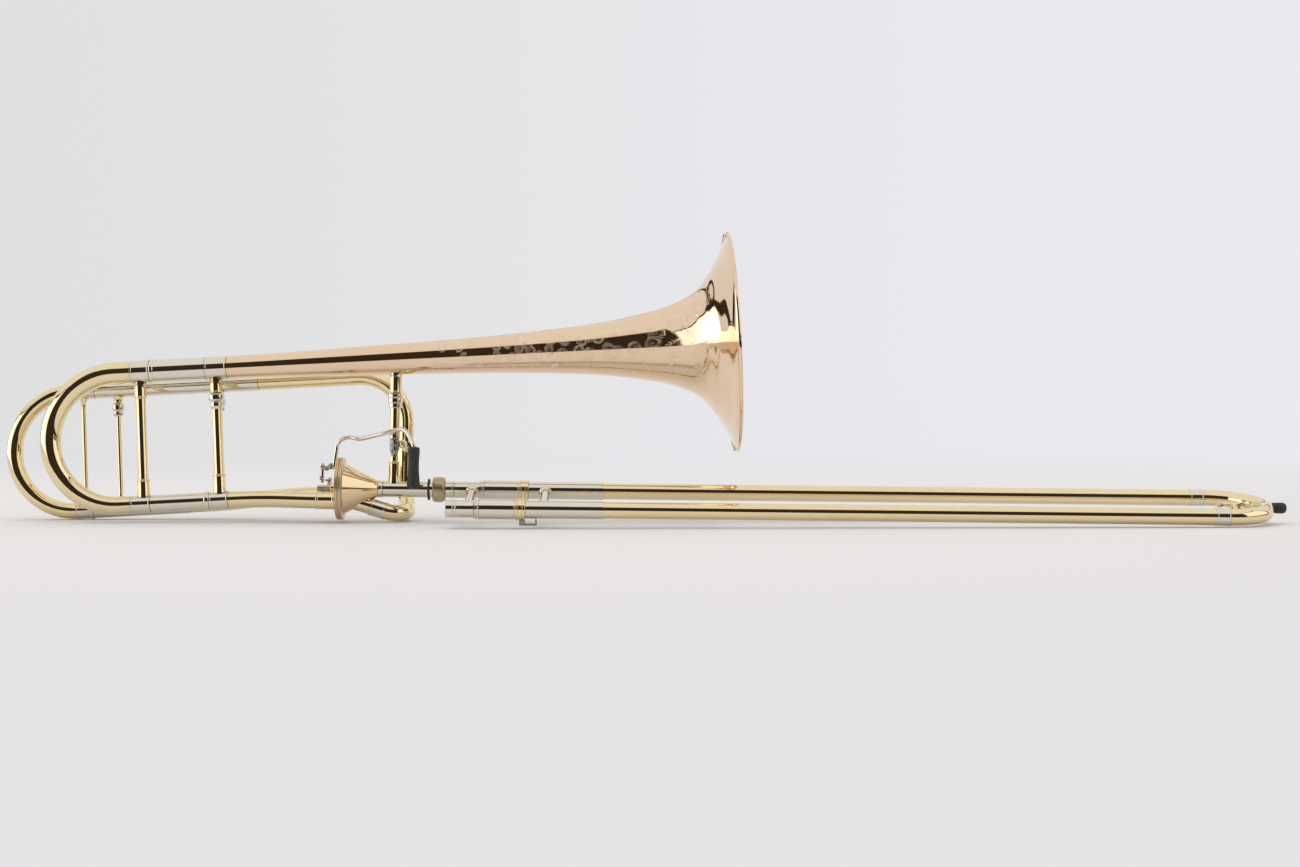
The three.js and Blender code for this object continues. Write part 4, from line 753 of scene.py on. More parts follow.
def lying(piece: Piece, x: float, y: float, z: float) -> Piece:
    """Lays an upright piece along X and moves it."""
    return BENCH.move(piece, shift(x, y, z) @ rotation(90, "Y"))


@dataclass
class Assembly:
    """A body of the part, whose pieces are made and dressed together."""

    body: str
    plane: Plane = Plane.BELL
    made: list[str] = field(default_factory=list)

    def place(
        self,
        piece: Piece,
        name: str,
        finish: Finishes,
        replaces: tuple[str, ...] | None = None,
        lie: Lie = Lie.UPRIGHT,
        offset: Triple = (0, 0, 0),
        plane: Plane | None = None,
        smooth: float = 34.0,
    ) -> None:
        """Sets a finished piece in its frame, dresses it and lets it ride on its body.

        Args:
            piece: The piece in millimetres, with its axis along +Z.
            name: Its name.
            finish: Its finish.
            replaces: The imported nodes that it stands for, by default the one with its name.
            lie: Which way its axis points in its frame.
            offset: Where its own origin lies in that frame.
            plane: The frame, where it isn't the assembly's.
            smooth: Edges under this angle are shaded smooth.
        """
        BENCH.move(piece, LAYOUT.matrix(plane or self.plane) @ shift(*offset) @ rotation(*lie.value))
        bpy.ops.object.shade_smooth_by_angle(angle=math.radians(smooth))
        BENCH.modify(piece, "WEIGHTED_NORMAL", keep_sharp=True)
        piece.name = piece.data.name = name
        piece.data.materials.clear()
        piece.data.materials.append(finish.material())
        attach(piece, self.body)
        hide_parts(*(replaces or (name,)))
        self.made.append(name)
        log.info("%s rides on %s", name, self.body)

    def turned(
        self,
        name: str,
        outline: Outline,
        bore: float = 0.0,
        finish: Finishes = Finishes.NICKEL,
        sides: int = 56,
        soft: float = 0.25,
        ridges: tuple[int, float] | None = None,
        saddles: tuple[tuple[float, bool, float], ...] = (),
        lie: Lie = Lie.ALONG,
        **place: object,
    ) -> None:
        """Makes a turned piece, bored or solid.

        Args:
            name: Its name.
            outline: Places along its axis and radii.
            bore: The bore's radius, or 0 for a solid piece.
            finish: Its finish.
            sides: How many edges go round.
            soft: How far its edges are rounded.
            ridges: How many ridges go round its outside, and their depth as a share of the radius.
            saddles: For each end that sits on a tube: height, whether the tube is below, its radius.
            lie: Which way it points.
            place: What else the place method takes.
        """
        profile = list(outline)
        for end, below, radius in saddles:
            index = 0 if below else -1
            foot = min(profile[index][1], radius * 0.98)
            depth = radius - math.sqrt(radius * radius - foot * foot)
            profile[index] = (end - depth if below else end + depth, profile[index][1])
        if bore:
            piece = BENCH.turn([(profile[0][0], bore), *profile, (profile[-1][0], bore)], sides)
        else:
            piece = BENCH.solid(profile, sides)
        if soft:
            BENCH.soften(piece, soft)
        if ridges:
            BENCH.knurl(piece, bore + 0.4, *ridges)
        for end, below, radius in saddles:
            BENCH.saddle(piece, end - radius if below else end + radius, radius)
        self.place(piece, name, finish, lie=lie, **place)

    def tube(
        self,
        name: str,
        path: Path,
        radius: float,
        wall: float = 0.6,
        end_radius: float | None = None,
        growth: float = 1.0,
        sides: int = 48,
        finish: Finishes = Finishes.YELLOW,
        plane: Plane | None = None,
    ) -> None:
        """Makes a bent tube, or a rod where it has no wall.

        Args:
            name: Its name.
            path: Its centre line.
            radius: Its radius at the start.
            wall: Its wall, or 0 for a rod.
            end_radius: Its radius at the end, where that differs.
            growth: The power by which the radius grows along it.
            sides: How many edges go round.
            finish: Its finish.
            plane: Its frame, where it isn't the assembly's.
        """
        lengths = [0.0]
        for before, after in zip(path.stations, path.stations[1:]):
            lengths.append(lengths[-1] + (after.place - before.place).length)
        last = radius if end_radius is None else end_radius
        radii = [radius + (last - radius) * (length / lengths[-1]) ** growth for length in lengths]
        piece = BENCH.follow(path.stations, radii, sides, wall == 0)
        if wall:
            BENCH.modify(piece, "SOLIDIFY", thickness=wall, offset=-1.0, use_rim=True)
        self.place(piece, name, finish, plane=plane)


def banded(start: float, end: float, radius: float, rise: float = 0.5, ridge: float = 1.3) -> Outline:
    """Gives a ferrule's outline: a plain band with a raised ring at each end."""
    half = [(0.0, radius + rise), (ridge, radius + rise), (ridge + 0.2, radius)]
    return [(start + step, size) for step, size in half] + [(end - step, size) for step, size in reversed(half)]


def bead(start: float, end: float, radius: float, rise: float = 0.9, steps: int = 8) -> Outline:
    """Gives a half-round bead's outline."""
    middle, half = (start + end) / 2, (end - start) / 2
    angles = [math.pi * i / steps for i in range(steps + 1)]
    return [(middle - half * math.cos(a), radius + 0.25 + (rise - 0.25) * math.sin(a)) for a in angles]


def smooth_curve(knots: Outline, steps: int) -> Outline:
    """Runs a smooth line through knots, with each slope from its two neighbours.

    Args:
        knots: The places.
        steps: Steps between each two of them.

    Returns:
        The finer line.
    """
    path = Path((*knots[0], 0)).through([Vector((*knot, 0)) for knot in knots[1:]], steps)
    return [(station.place.x, station.place.y) for station in path.stations]


PORT = Vector((-232, 0, -14))
PORT_WAY = Vector((math.cos(math.radians(16)), 0, -math.sin(math.radians(16))))


@dataclass
class Bell(Assembly):
    """The rose brass bell with its wired edge, and the ferrule at its tail."""

    plane: Plane = Plane.LEGS
    length: float = 490.7
    tail: float = 106.9
    mouth: float = 108.0
    wall: float = 0.6
    axis: Triple = (0, 0, 64.0)
    wire: float = 1.1
    curl: float = 1.4
    curl_turns: tuple[float, float] = (-23.4, 213.4)
    front_turn: float = -0.25
    shares: tuple[tuple[float, float], ...] = (
        (1, 0.1019), (0.8045, 0.1222), (0.6558, 0.1398), (0.558, 0.1537), (0.4582, 0.1722),
        (0.3605, 0.1991), (0.2607, 0.2398), (0.1813, 0.2991), (0.1426, 0.3352), (0.1018, 0.4019),
        (0.0754, 0.4667), (0.0623, 0.5204), (0.0477, 0.6056), (0.0391, 0.6574), (0.0285, 0.7389),
        (0.0204, 0.8056), (0.00876, 0.9259),
    )

    def knots(self) -> Outline:
        """Gives places on the bell's outer line, from its tail to its curled edge."""
        rim = self.tail + self.length
        return [(rim - back * self.length, wide * self.mouth) for back, wide in self.shares]

    def edge(self, radius: float, degrees: float) -> tuple[float, float]:
        """Gives a place round the middle of the curled edge.

        Args:
            radius: Its distance from that middle.
            degrees: Its turn round it.

        Returns:
            The place along the axis and its radius.
        """
        outer, angle = self.curl + self.wall, math.radians(degrees)
        x, r = self.tail + self.length - outer, self.mouth - outer
        return (x + radius * math.cos(angle), r + radius * math.sin(angle))

    def outline(self) -> Outline:
        """Gives the bell's closed outline: its back, the curled edge and its front.

        Returns:
            The outline.
        """
        start, sweep = self.curl_turns
        back = smooth_curve([*self.knots(), self.edge(self.curl, start)], 5)
        front = []
        for i, (x, r) in enumerate(back[:-1]):
            (x0, r0), (x1, r1) = back[max(i - 1, 0)], back[i + 1]
            size = math.hypot(x1 - x0, r1 - r0)
            front.append((x + (r1 - r0) / size * self.wall, r - (x1 - x0) / size * self.wall))
        turns = [start + sweep * i / 16 for i in range(17)]
        inner = [self.edge(self.curl, turn) for turn in turns[1:]]
        outer = [self.edge(self.curl + self.wall, turn) for turn in reversed(turns)]
        return [*back, *inner, *outer, *reversed(front)]

    def unroll(self, bell: Piece) -> None:
        """Gives the bell a UV map for its engraving: its turn, and its length against its girth, or 0 inside.

        Args:
            bell: The bell along +Z.
        """
        knots = smooth_curve(self.knots(), 5)
        heights = [0.0]
        for (x0, r0), (x1, r1) in zip(knots, knots[1:]):
            heights.append(heights[-1] + math.hypot(x1 - x0, r1 - r0) / (math.tau * (r0 + r1) / 2))
        mesh = bell.data
        layer = mesh.uv_layers.new(name="Bell")
        for face in mesh.polygons:
            outside = face.normal.x * face.center.x + face.normal.y * face.center.y > 0
            places = [mesh.vertices[mesh.loops[corner].vertex_index].co for corner in face.loop_indices]
            turns = [math.atan2(place.y, place.x) / math.tau for place in places]
            for corner, place, turn in zip(face.loop_indices, places, turns):
                if turn - min(turns) > 0.5:
                    turn -= 1.0
                size = math.hypot(place.x, place.y)
                gaps = [abs(x - place.z) + abs(r - size) for x, r in knots]
                layer.data[corner].uv = (turn - self.front_turn, heights[gaps.index(min(gaps))] * outside)

    def build(self) -> None:
        """Makes the bell, its wire, its tail ferrule and the sleeve before it."""
        bell = BENCH.turn(self.outline(), 128)
        self.unroll(bell)
        self.place(bell, "bell", Finishes.ROSE, lie=Lie.ALONG, offset=self.axis, smooth=50.0)
        wire = BENCH.turn([self.edge(self.wire, 30.0 * i) for i in range(12)], 128)
        self.place(wire, "bell_rim_wire", Finishes.YELLOW, lie=Lie.ALONG, offset=self.axis, smooth=60.0)
        self.turned("bell_tail_ferrule", banded(85.9, 106.6, 11.1), 10.45, offset=self.axis)
        sleeve = [*bead(32.8, 36.5, 11.1), (36.6, 11.1), (85.6, 11.1)]
        self.turned("upper_outer_sleeve", sleeve, 10.45, soft=0.15, offset=self.axis)


@dataclass
class LowerRun(Assembly):
    """The lower leg, the gooseneck and the F tubes that lead to the valve and back."""

    leg_height: float = -64.0
    f_low: float = -64.2
    f_high: float = 53.3
    f_radius: float = 7.8
    f_offset: float = 45.5
    plate_back: float = -253.6
    bend_radius: float = 45.0
    bend_x: float = -193.0

    def from_legs(self, x: float, y: float, z: float) -> Path:
        """Starts a path in the plane of the bell, ahead from a place in the legs' frame."""
        legs = LAYOUT.legs_in_bell()
        return Path(legs @ Vector((x, y, z)), legs.to_3x3() @ AHEAD)

    def build(self) -> None:
        """Makes the tubes between the tuning slides and the valve."""
        on_leg = partial(
            self.turned, bore=6.7, replaces=("lower_leg_tube",), offset=(0, 0, self.leg_height), plane=Plane.LEGS
        )
        on_leg("lower_leg_ferrule", banded(85.3, 103.2, 8.4))
        on_leg("lower_inner_tube", [(33.3, 7.3), (86.0, 7.3)])
        goose = self.from_legs(103.5, 0, self.leg_height)
        self.tube("gooseneck", goose.sweep((self.plate_back, -9.03, -11.98), AHEAD, 42, 30), 8.15)
        self.port_collar("gooseneck_collar", "gooseneck", -9.03, -11.98, 8.15)
        self.port_collar("f_port_collar", "f_lower_tube", 13.95, -5.52, 7.8)
        lower = self.from_legs(57.3, self.f_offset, self.f_low).straight(8, 2)
        self.tube("f_lower_tube", lower.sweep((self.plate_back, 13.95, -5.52), AHEAD, 60, 36), self.f_radius)
        for name, start, end, z in (("lower", -36, 57, self.f_low), ("upper", -31.6, 128.7, self.f_high)):
            sleeve = [(start, 8.1), (end, 8.1)]
            self.turned(f"f_{name}_sleeve", sleeve, 7.5, offset=(0, 0, z), plane=Plane.F_LEGS)
        upper = self.from_legs(129.0, self.f_offset, self.f_high)
        along = upper.direction
        bend_start = self.bend_x - self.bend_radius * (1 + along.z)
        upper.straight((bend_start - upper.place.x) / along.x, 2).bend(self.bend_radius, 93.63, SIDEWAYS, 30)
        self.tube("f_upper_tube", upper.straight(upper.place.z - 10.3, 2), self.f_radius)
        self.crook()

    def port_collar(self, name: str, node: str, y: float, z: float, radius: float) -> None:
        """Makes the collar in which a tube ends at the valve's back plate.

        Args:
            name: Its name.
            node: The tube's node.
            y: Its place across.
            z: Its height.
            radius: The tube's radius.
        """
        steps = (
            (-271.6, 0.1), (-271.2, 0.7), (-269.8, 0.7), (-269.4, 0.35), (-256.2, 0.35), (-255.8, 0.7), (-253.6, 0.7),
        )
        outline = [(x, radius + rise) for x, rise in steps]
        self.turned(name, outline, radius - 0.1, Finishes.YELLOW, soft=0.1, replaces=(node,), offset=(0, y, z))

    def crook(self) -> None:
        """Makes the crook under the valve, from its side port up to the F tube."""
        start = PORT + PORT_WAY * 11.7
        rise = Vector((0, math.cos(math.radians(10)), math.sin(math.radians(10))))
        path = Path(start, PORT_WAY).straight(15.4, 2).sweep((-187.4, 20, -19.5), rise, 13, 24)
        path.sweep((self.bend_x, self.f_offset, 10), Vector((0, 0, 1)), 14, 24)
        self.tube("f_crook", path, self.f_radius)
        outline = [(0, 7.9), (0, 8.7), (1.2, 8.7), (1.5, 8.2), (13.9, 8.2), (14.2, 8.7), (15.4, 8.7), (15.4, 7.9)]
        ring = BENCH.move(BENCH.turn(outline, 48), aim(start, PORT_WAY))
        self.place(ring, "f_crook_ferrule", Finishes.NICKEL, replaces=("f_crook",))


@dataclass
class Valve(Assembly):
    """The conical valve: casing, back plate, bearing, and the receiver on its nose."""

    plate: float = -253.4
    rim: float = 30.0
    flange: float = -249.6
    cone_start: float = -246.7
    cone_end: float = -214.0
    base: float = 25.0
    apex: float = 7.9

    def casing(self) -> None:
        """Makes the casing: its cone, its flange and the stub of its side port."""
        start, end = self.cone_start, self.cone_end
        cone = [
            (start, self.base - 0.3), (end - 1.0, self.apex + 0.35), (end, self.apex - 0.1),
            (end, self.apex - 0.9), (start, self.base - 2.6),
        ]
        nodes = ("valve_casing",)
        self.place(BENCH.turn(cone, 128), "valve_cone", Finishes.WARM, nodes, Lie.ALONG)
        steps = ((0, -0.4), (0.4, 0), (1.1, 0), (1.3, -0.5), (1.6, -0.5), (1.8, 0))
        flange = [
            *((self.flange + step, self.rim + rise) for step, rise in steps),
            (start - 0.5, self.rim), (start, self.rim - 0.5), (start, self.base + 0.9), (start + 0.9, self.base - 0.2),
        ]
        edge = {"sides": 128, "soft": 0.12, "finish": Finishes.BRUSHED}
        self.turned("valve_flange", flange, self.base - 2.6, replaces=nodes, **edge)
        stub = BENCH.turn([(-5, 7.0), (-5, 7.6), (11.4, 7.6), (11.4, 7.0)], 48)
        self.place(BENCH.move(stub, aim(PORT, PORT_WAY)), "valve_side_stub", Finishes.YELLOW, nodes)
        steps = (
            (0, -2.0), (0.3, -0.9), (0.6, -0.2), (0.8, 0), (1.5, 0), (1.7, -0.5), (2.0, -0.5), (2.2, 0),
            (3.2, 0), (3.5, -0.4),
        )
        plate = [(self.plate + step, self.rim + rise) for step, rise in steps]
        self.turned("valve_back_plate", plate, 2.9, **edge)

    def build(self) -> None:
        """Makes the valve's outside and the receiver."""
        self.casing()
        self.turned("rear_bearing", [(-259.7, 4.2), (-259.2, 5.0), (-253.6, 5.0)], 2.9, Finishes.YELLOW, sides=40)
        self.turned("receiver_ferrule", banded(-213.7, -209.0, 8.1, 0.4, 1.0), 7.0)
        self.turned("receiver_tube", [(-208.7, 7.7), (-161.0, 7.7)], 7.0)
        thread = [(-161.1 + 0.36 * i, 9.0 - 0.45 * (i % 2)) for i in range(11)]
        self.turned("receiver_thread", thread, 7.0, soft=0.0, replaces=("receiver_tube",))
        washer = [(-166.0, 9.9), (-165.6, 10.4), (-164.4, 10.4), (-164.0, 9.9)]
        self.turned("joint_washer", washer, 8.0, Finishes.RUBBER, soft=0.1)


def ringed(start: float, end: float, radius: float = 5.75) -> Outline:
    """Gives a socket's outline from its ringed end, where a tube comes out, to its flared foot.

    Args:
        start: Where the ringed end is.
        end: Where the foot is.
        radius: The socket's radius.

    Returns:
        The outline.
    """
    way = math.copysign(1.0, end - start)
    ring = ((0.0, radius - 0.4), (0.35, radius + 0.35), (1.5, radius + 0.35), (1.9, radius))
    foot = ((3.6, radius), (2.2, radius + 0.4), (0.0, radius + 0.75))
    return [(start + way * step, size) for step, size in ring] + [(end - way * step, size) for step, size in foot]


@dataclass
class Braces(Assembly):
    """The fixed braces, with their sockets and ridged nuts."""

    tube_radius: float = 4.75
    bore: float = 3.15

    def build(self) -> None:
        """Makes all fixed braces."""
        self.body_brace()
        self.f_braces()
        self.bell_brace()

    def body_brace(self) -> None:
        """Makes the brace between the bell's tail and the lower leg."""
        upright = partial(self.turned, lie=Lie.UPRIGHT, offset=(95, 0, 0), plane=Plane.LEGS)
        top, low, joint = 52.4, -55.1, -38.7
        upright("body_brace_socket", ringed(39.6, top), self.bore, Finishes.YELLOW, saddles=((top, False, 11.6),))
        nut = [
            (24.2, 5.4), (26.2, 5.8), (26.7, 6.2), (30.2, 6.2), (30.9, 5.7), (32.1, 5.7), (32.7, 7.3), (33.3, 7.7),
            (37.7, 7.7), (38.3, 7.2), (39.2, 5.9),
        ]
        upright("body_brace_nut", nut, 5.0, ridges=(30, 0.008), sides=180)
        tube = [*reversed(ringed(joint, low)), (joint, self.tube_radius), (31.8, self.tube_radius)]
        upright("body_brace_tube", tube, self.bore, Finishes.YELLOW, saddles=((low, True, 8.9),))

    def f_braces(self) -> None:
        """Makes the two braces between the F legs."""
        low, top = -64.2 + 8.4, 45.2
        head = [(39.9, 3.9), (40.3, 4.3), (top - 2.0, 4.3), (top - 0.2, 5.2)]
        foot = [(0, 4.6), (0.8, 4.3), (2.2, 3.2), (4.5, 2.5), (8, 2.2), (13, 2.1)]
        rear = [(0.6, 4.4), (1.6, 4.2), (3.2, 3.3), (8, 2.4)]
        nut = [
            (26.4, 3.3), (27.0, 4.4), (27.8, 4.9), (30.9, 4.9), (31.4, 4.4), (32.0, 4.4), (32.6, 5.6), (33.2, 5.95),
            (37.9, 5.95), (38.5, 5.5), (39.2, 4.6),
        ]
        upper, lower = (top - 0.2, False, 8.1), (low, True, 8.1)
        for rod, name, x, steps, size, bore, saddles in (
            ("f_brace_rod", "f_brace_nut", -10, foot, 2.1, 2.3, (lower, upper)),
            ("f_rear_brace", "f_rear_nut", 89.5, rear, 2.4, 2.7, (upper,)),
        ):
            upright = partial(self.turned, lie=Lie.UPRIGHT, offset=(x, 0, 0), plane=Plane.F_LEGS)
            outline = [*((low + step, radius) for step, radius in steps), (39.6, size), *head]
            upright(rod, outline, finish=Finishes.YELLOW, saddles=saddles)
            upright(name, nut, bore, ridges=(24, 0.01), sides=144)

    def bell_brace(self) -> None:
        """Makes the brace from the receiver to the bell, with the stay to the F tube."""
        upright = partial(self.turned, lie=Lie.UPRIGHT, offset=(-199, 0, 0))
        top, size = 111.1, self.tube_radius
        upright("bell_brace_socket", ringed(92.7, top), self.bore, Finishes.YELLOW, saddles=((top, False, 15.2),))
        nut = [
            (78.2, 5.4), (78.7, 6.2), (82.6, 6.2), (83.0, 6.5), (83.4, 7.3), (87.4, 7.3), (88.0, 6.6), (88.6, 7.3),
            (91.6, 7.3), (92.4, 5.9),
        ]
        upright("bell_brace_nut", nut, 5.0, ridges=(30, 0.008), sides=180)
        upright("bell_brace_tube", [(48.6, size), (85.1, size)], self.bore, Finishes.YELLOW)
        joint = [
            (36.7, 3.9), (37.2, 4.5), (37.6, 4.7), (41.4, 4.7), (41.7, 4.4), (42.3, 4.4), (42.6, 4.7), (47.3, 4.7),
            (47.8, 4.5), (48.3, 4.1),
        ]
        upright("bell_brace_joint", joint, finish=Finishes.DARK, ridges=(30, 0.03), sides=120)
        end = reversed(ringed(26.7, 0, 5.2)[:4])
        foot = [(7.6, 6.2), (10.4, 5.5), (12, 5.2), *end, (26.7, 4.2), (31.4, 4.2)]
        upright("bell_brace_foot", foot, self.bore, Finishes.YELLOW, saddles=((7.6, True, 8.0),))
        neck = [(31.2, 4.0), (31.6, 4.2), (32.3, 3.1), (33.2, 2.9), (34.6, 3.2), (35.8, 3.7), (36.6, 3.9)]
        upright("bell_joint_neck", neck, finish=Finishes.DARK, soft=0, replaces=("bell_brace_foot",))
        stay = [
            (-2.9, 0.7), (-3.4, 1.1), (-3.3, 1.8), (-2.8, 2.9), (-2.0, 3.7), (-0.8, 4.1), (-0.4, 3.6), (0.2, 2.4),
            (35.7, 2.4), (36.4, 5.0), (37.9, 5.0),
        ]
        self.turned("f_tube_stay", stay, finish=Finishes.YELLOW, soft=0.15, lie=Lie.ACROSS, offset=(-191, 0, 43.5))


@dataclass
class MainTuningSlide(Assembly):
    """The main tuning slide: a bow that widens, two legs and a brace."""

    plane: Plane = Plane.LEGS
    radius: float = 64.0

    def build(self) -> None:
        """Makes the tuning slide."""
        bow = Path((10.1, 0, -self.radius), -AHEAD).straight(11.2, 2)
        bow.bend(self.radius, 180, SIDEWAYS, 60).straight(15.3, 2)
        self.tube("main_bow", bow, 8.4, end_radius=10.9, growth=0.85, sides=56)
        upper = partial(self.turned, bore=9.6, replaces=("bow_upper_leg",), offset=(0, 0, self.radius))
        upper("bow_upper_ferrule", banded(14.5, 32.5, 11.1))
        upper("bow_upper_inner", [(32.5, 10.15), (84.0, 10.15)])
        lower = partial(self.turned, bore=7.6, offset=(0, 0, -self.radius))
        lower("bow_lower_ferrule", banded(10.4, 29.1, 8.4))
        lower("bow_lower_sleeve", [(29.4, 8.4), (80.6, 8.4), *bead(80.7, 85.0, 8.4)], soft=0.15)
        top, low = 52.4, -55.1
        foot = (
            (0, 6.5), (2.2, 6.1), (3.6, 5.75), (13.1, 5.75), (13.5, 6.1), (14.7, 6.1), (15.0, 5.6), (15.0, 4.75),
        )
        head = (
            (14.3, 4.75), (14.3, 5.6), (14.0, 6.1), (12.8, 6.1), (12.4, 5.75), (3.6, 5.75), (2.2, 6.1), (0, 6.5),
        )
        brace = [(low + step, size) for step, size in foot] + [(top - step, size) for step, size in head]
        saddles = ((low, True, 8.9), (top, False, 11.6))
        self.turned("bow_brace", brace, 3.15, Finishes.YELLOW, saddles=saddles, lie=Lie.UPRIGHT, offset=(22.4, 0, 0))


@dataclass
class FTuningSlide(Assembly):
    """The F tuning slide."""

    plane: Plane = Plane.F_LEGS
    high: float = 53.3
    low: float = -64.2

    def build(self) -> None:
        """Makes the F tuning slide."""
        bow = Path((-53.7, 0, self.low), -AHEAD)
        bow.bend((self.high - self.low) / 2, 180, SIDEWAYS, 60).straight(14.8, 2)
        self.tube("f_bow", bow, 7.8)
        upper = banded(-38.6, -31.9, 8.1, 0.4, 1.0)
        lower = [*banded(-53.4, -39.3, 8.1, 0.4, 1.0), *bead(-39.1, -36.3, 8.1, 1.0)]
        for name, outline, start, end, z in (
            ("upper", upper, -31.9, 28.1, self.high),
            ("lower", lower, -36.3, 3.7, self.low),
        ):
            on_leg = partial(self.turned, bore=6.6, replaces=(f"f_bow_{name}_leg",), offset=(0, 0, z))
            on_leg(f"f_bow_{name}_ferrule", outline)
            on_leg(f"f_bow_{name}_inner", [(start, 7.2), (end, 7.2)])
        low, top = self.low + 8.4 - 0.3, self.high - 8.0
        flare = ((0.0, 4.6), (0.8, 4.2), (2.2, 3.1), (4.5, 2.4), (8.0, 2.2), (13.0, 2.1))
        brace = [(low + a, r) for a, r in flare] + [(top - a, r) for a, r in reversed(flare)]
        saddles = ((low, True, 8.5), (top, False, 7.9))
        self.turned(
            "f_bow_brace", brace, finish=Finishes.YELLOW, saddles=saddles, lie=Lie.UPRIGHT, offset=(-44, 0, 0)
        )


@dataclass
class ThumbLever(Assembly):
    """The thumb lever: a bent rod that turns on a collar round the bell brace, with a rubber grip."""

    start: Triple = (-271.0, 11.1, 21.0)
    corner: float = 2.2
    drop: float = -257.9
    top: float = 57.4
    shares: tuple[Triple, ...] = (
        (0.02, 0.003, 0.45), (0.032, 0.015, 0.61), (0.07, 0.045, 0.72), (0.12, 0.075, 0.777), (0.165, 0.1, 0.797),
        (0.21, 0.13, 0.79), (0.257, 0.17, 0.768), (0.313, 0.21, 0.75), (0.38, 0.26, 0.777), (0.49, 0.36, 0.828),
        (0.622, 0.47, 0.893), (0.757, 0.54, 0.975), (0.838, 0.607, 0.992), (0.893, 0.72, 0.915), (0.945, 0.86, 0.745),
        (0.985, 0.98, 0.58), (1, 1, 0.5),
    )

    def build(self) -> None:
        """Makes the lever."""
        x, y, z = self.start
        path = Path(self.start).straight(self.drop - self.corner - x, 2).bend(self.corner, -90, SIDEWAYS, 8)
        rise = self.top - z
        path.through([Vector((self.drop + a * 79.9, y - b * 35.6, z + c * rise)) for a, b, c in self.shares], 6)
        path.direction = Vector((0, 0, -1))
        self.tube("lever_rod", path.straight(18.7, 2), 2.1, 0, sides=24, finish=Finishes.NICKEL)
        collar = [
            (48.6, 5.1), (49.0, 5.45), (52.6, 5.45), (52.9, 5.2), (56.6, 5.2), (56.9, 5.45), (57.5, 5.45), (57.9, 5.1),
        ]
        self.turned("lever_collar", collar, 4.9, lie=Lie.UPRIGHT, offset=(-199, 0, 0))
        for name, x, z, size in (("inner_ball_joint", -261.1, 22.2, 3.0), ("outer_ball_joint", -265.1, 20.2, 2.6)):
            angles = [math.pi * i / 14 for i in range(15)]
            ball = [(-size * math.cos(angle), max(size * math.sin(angle), 0.05)) for angle in angles]
            joint = {"finish": Finishes.DARK, "sides": 32, "soft": 0, "replaces": ("lever_rod",)}
            self.turned(name, ball, offset=(x, y, z), **joint)
        grip = [
            (-0.7, 4.2), (-0.3, 5.4), (0.6, 6.0), (2, 6.2), (4, 6.2), (8, 5.9), (12, 5.5), (17, 5.15), (22, 5.05),
            (27, 5.15), (31, 5.4), (35, 5.6), (37.4, 5.6), (38.5, 5.1), (39, 4.1), (39, 2.1), (20, 2.1),
        ]
        self.turned("lever_grip", grip, finish=Finishes.RUBBER, soft=0, lie=Lie.UPRIGHT, offset=(-178, -24.5, 0))


@dataclass
class LeverLink(Assembly):
    """The link that hangs from the lever's stud and pulls the rotor's crank."""

    start: float = -270.4
    end: float = -267.8
    across: float = 11.1

    def eye(self, inner: float, outer: float, height: float) -> Piece:
        """Makes one of the link's rings."""
        outline = [(self.start, inner), (self.start, outer), (self.end, outer), (self.end, inner)]
        return lying(BENCH.turn(outline, 40), 0, self.across, height)

    def build(self) -> None:
        """Makes the link."""
        eyes = [self.eye(2.95, 3.95, 21.0), self.eye(0.9, 2.6, 8.5)]
        bar = BENCH.box((self.start + 0.3, 9.6, 10.9), (self.end - 0.3, 12.6, 17.7))
        steps = ((-1.6, 1.0), (-1.5, 1.8), (-0.9, 2.2), (0, 2.0), (0, 1.0))
        knob = BENCH.turn([(self.start + step, size) for step, size in steps], 32)
        link = BENCH.join([*eyes, bar, lying(knob, 0, self.across, 10.6)], 0.25)
        self.place(link, "link_rod", Finishes.STEEL)


@dataclass
class Rotor(Assembly):
    """The rotor's crank, which shows behind the back plate."""

    rest: float = 37.3
    reach: float = 14.0
    back: float = -263.3
    front: float = -260.3

    def ring(self, start: float, inner: float, outer: float, y: float = 0, z: float = 0) -> Piece:
        """Makes a ring of the crank."""
        outline = [(start, inner), (start, outer), (self.front, outer), (self.front, inner)]
        return lying(BENCH.turn(outline, 40), 0, y, z)

    def build(self) -> None:
        """Makes the crank and dresses the rotor."""
        turn = math.radians(self.rest)
        side, up = self.reach * math.cos(turn), self.reach * math.sin(turn)
        hub = self.ring(-272.4, 1.2, 2.9)
        arm = BENCH.move(BENCH.box((self.back, 2.0, -2.0), (self.front, self.reach, 2.0)), rotation(self.rest, "X"))
        eye = self.ring(self.back, 1.25, 2.6, side, up)
        pin = BENCH.solid([(-266.3, 0.7), (-266.0, 1.2), (self.front, 1.2)], 24)
        crank = BENCH.join([hub, arm, eye, lying(pin, 0, side, up)], 0.25)
        self.place(crank, "rotor_crank", Finishes.STEEL)
        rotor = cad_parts["valve_rotor"]
        rotor.data.materials.clear()
        rotor.data.materials.append(Finishes.YELLOW.material())


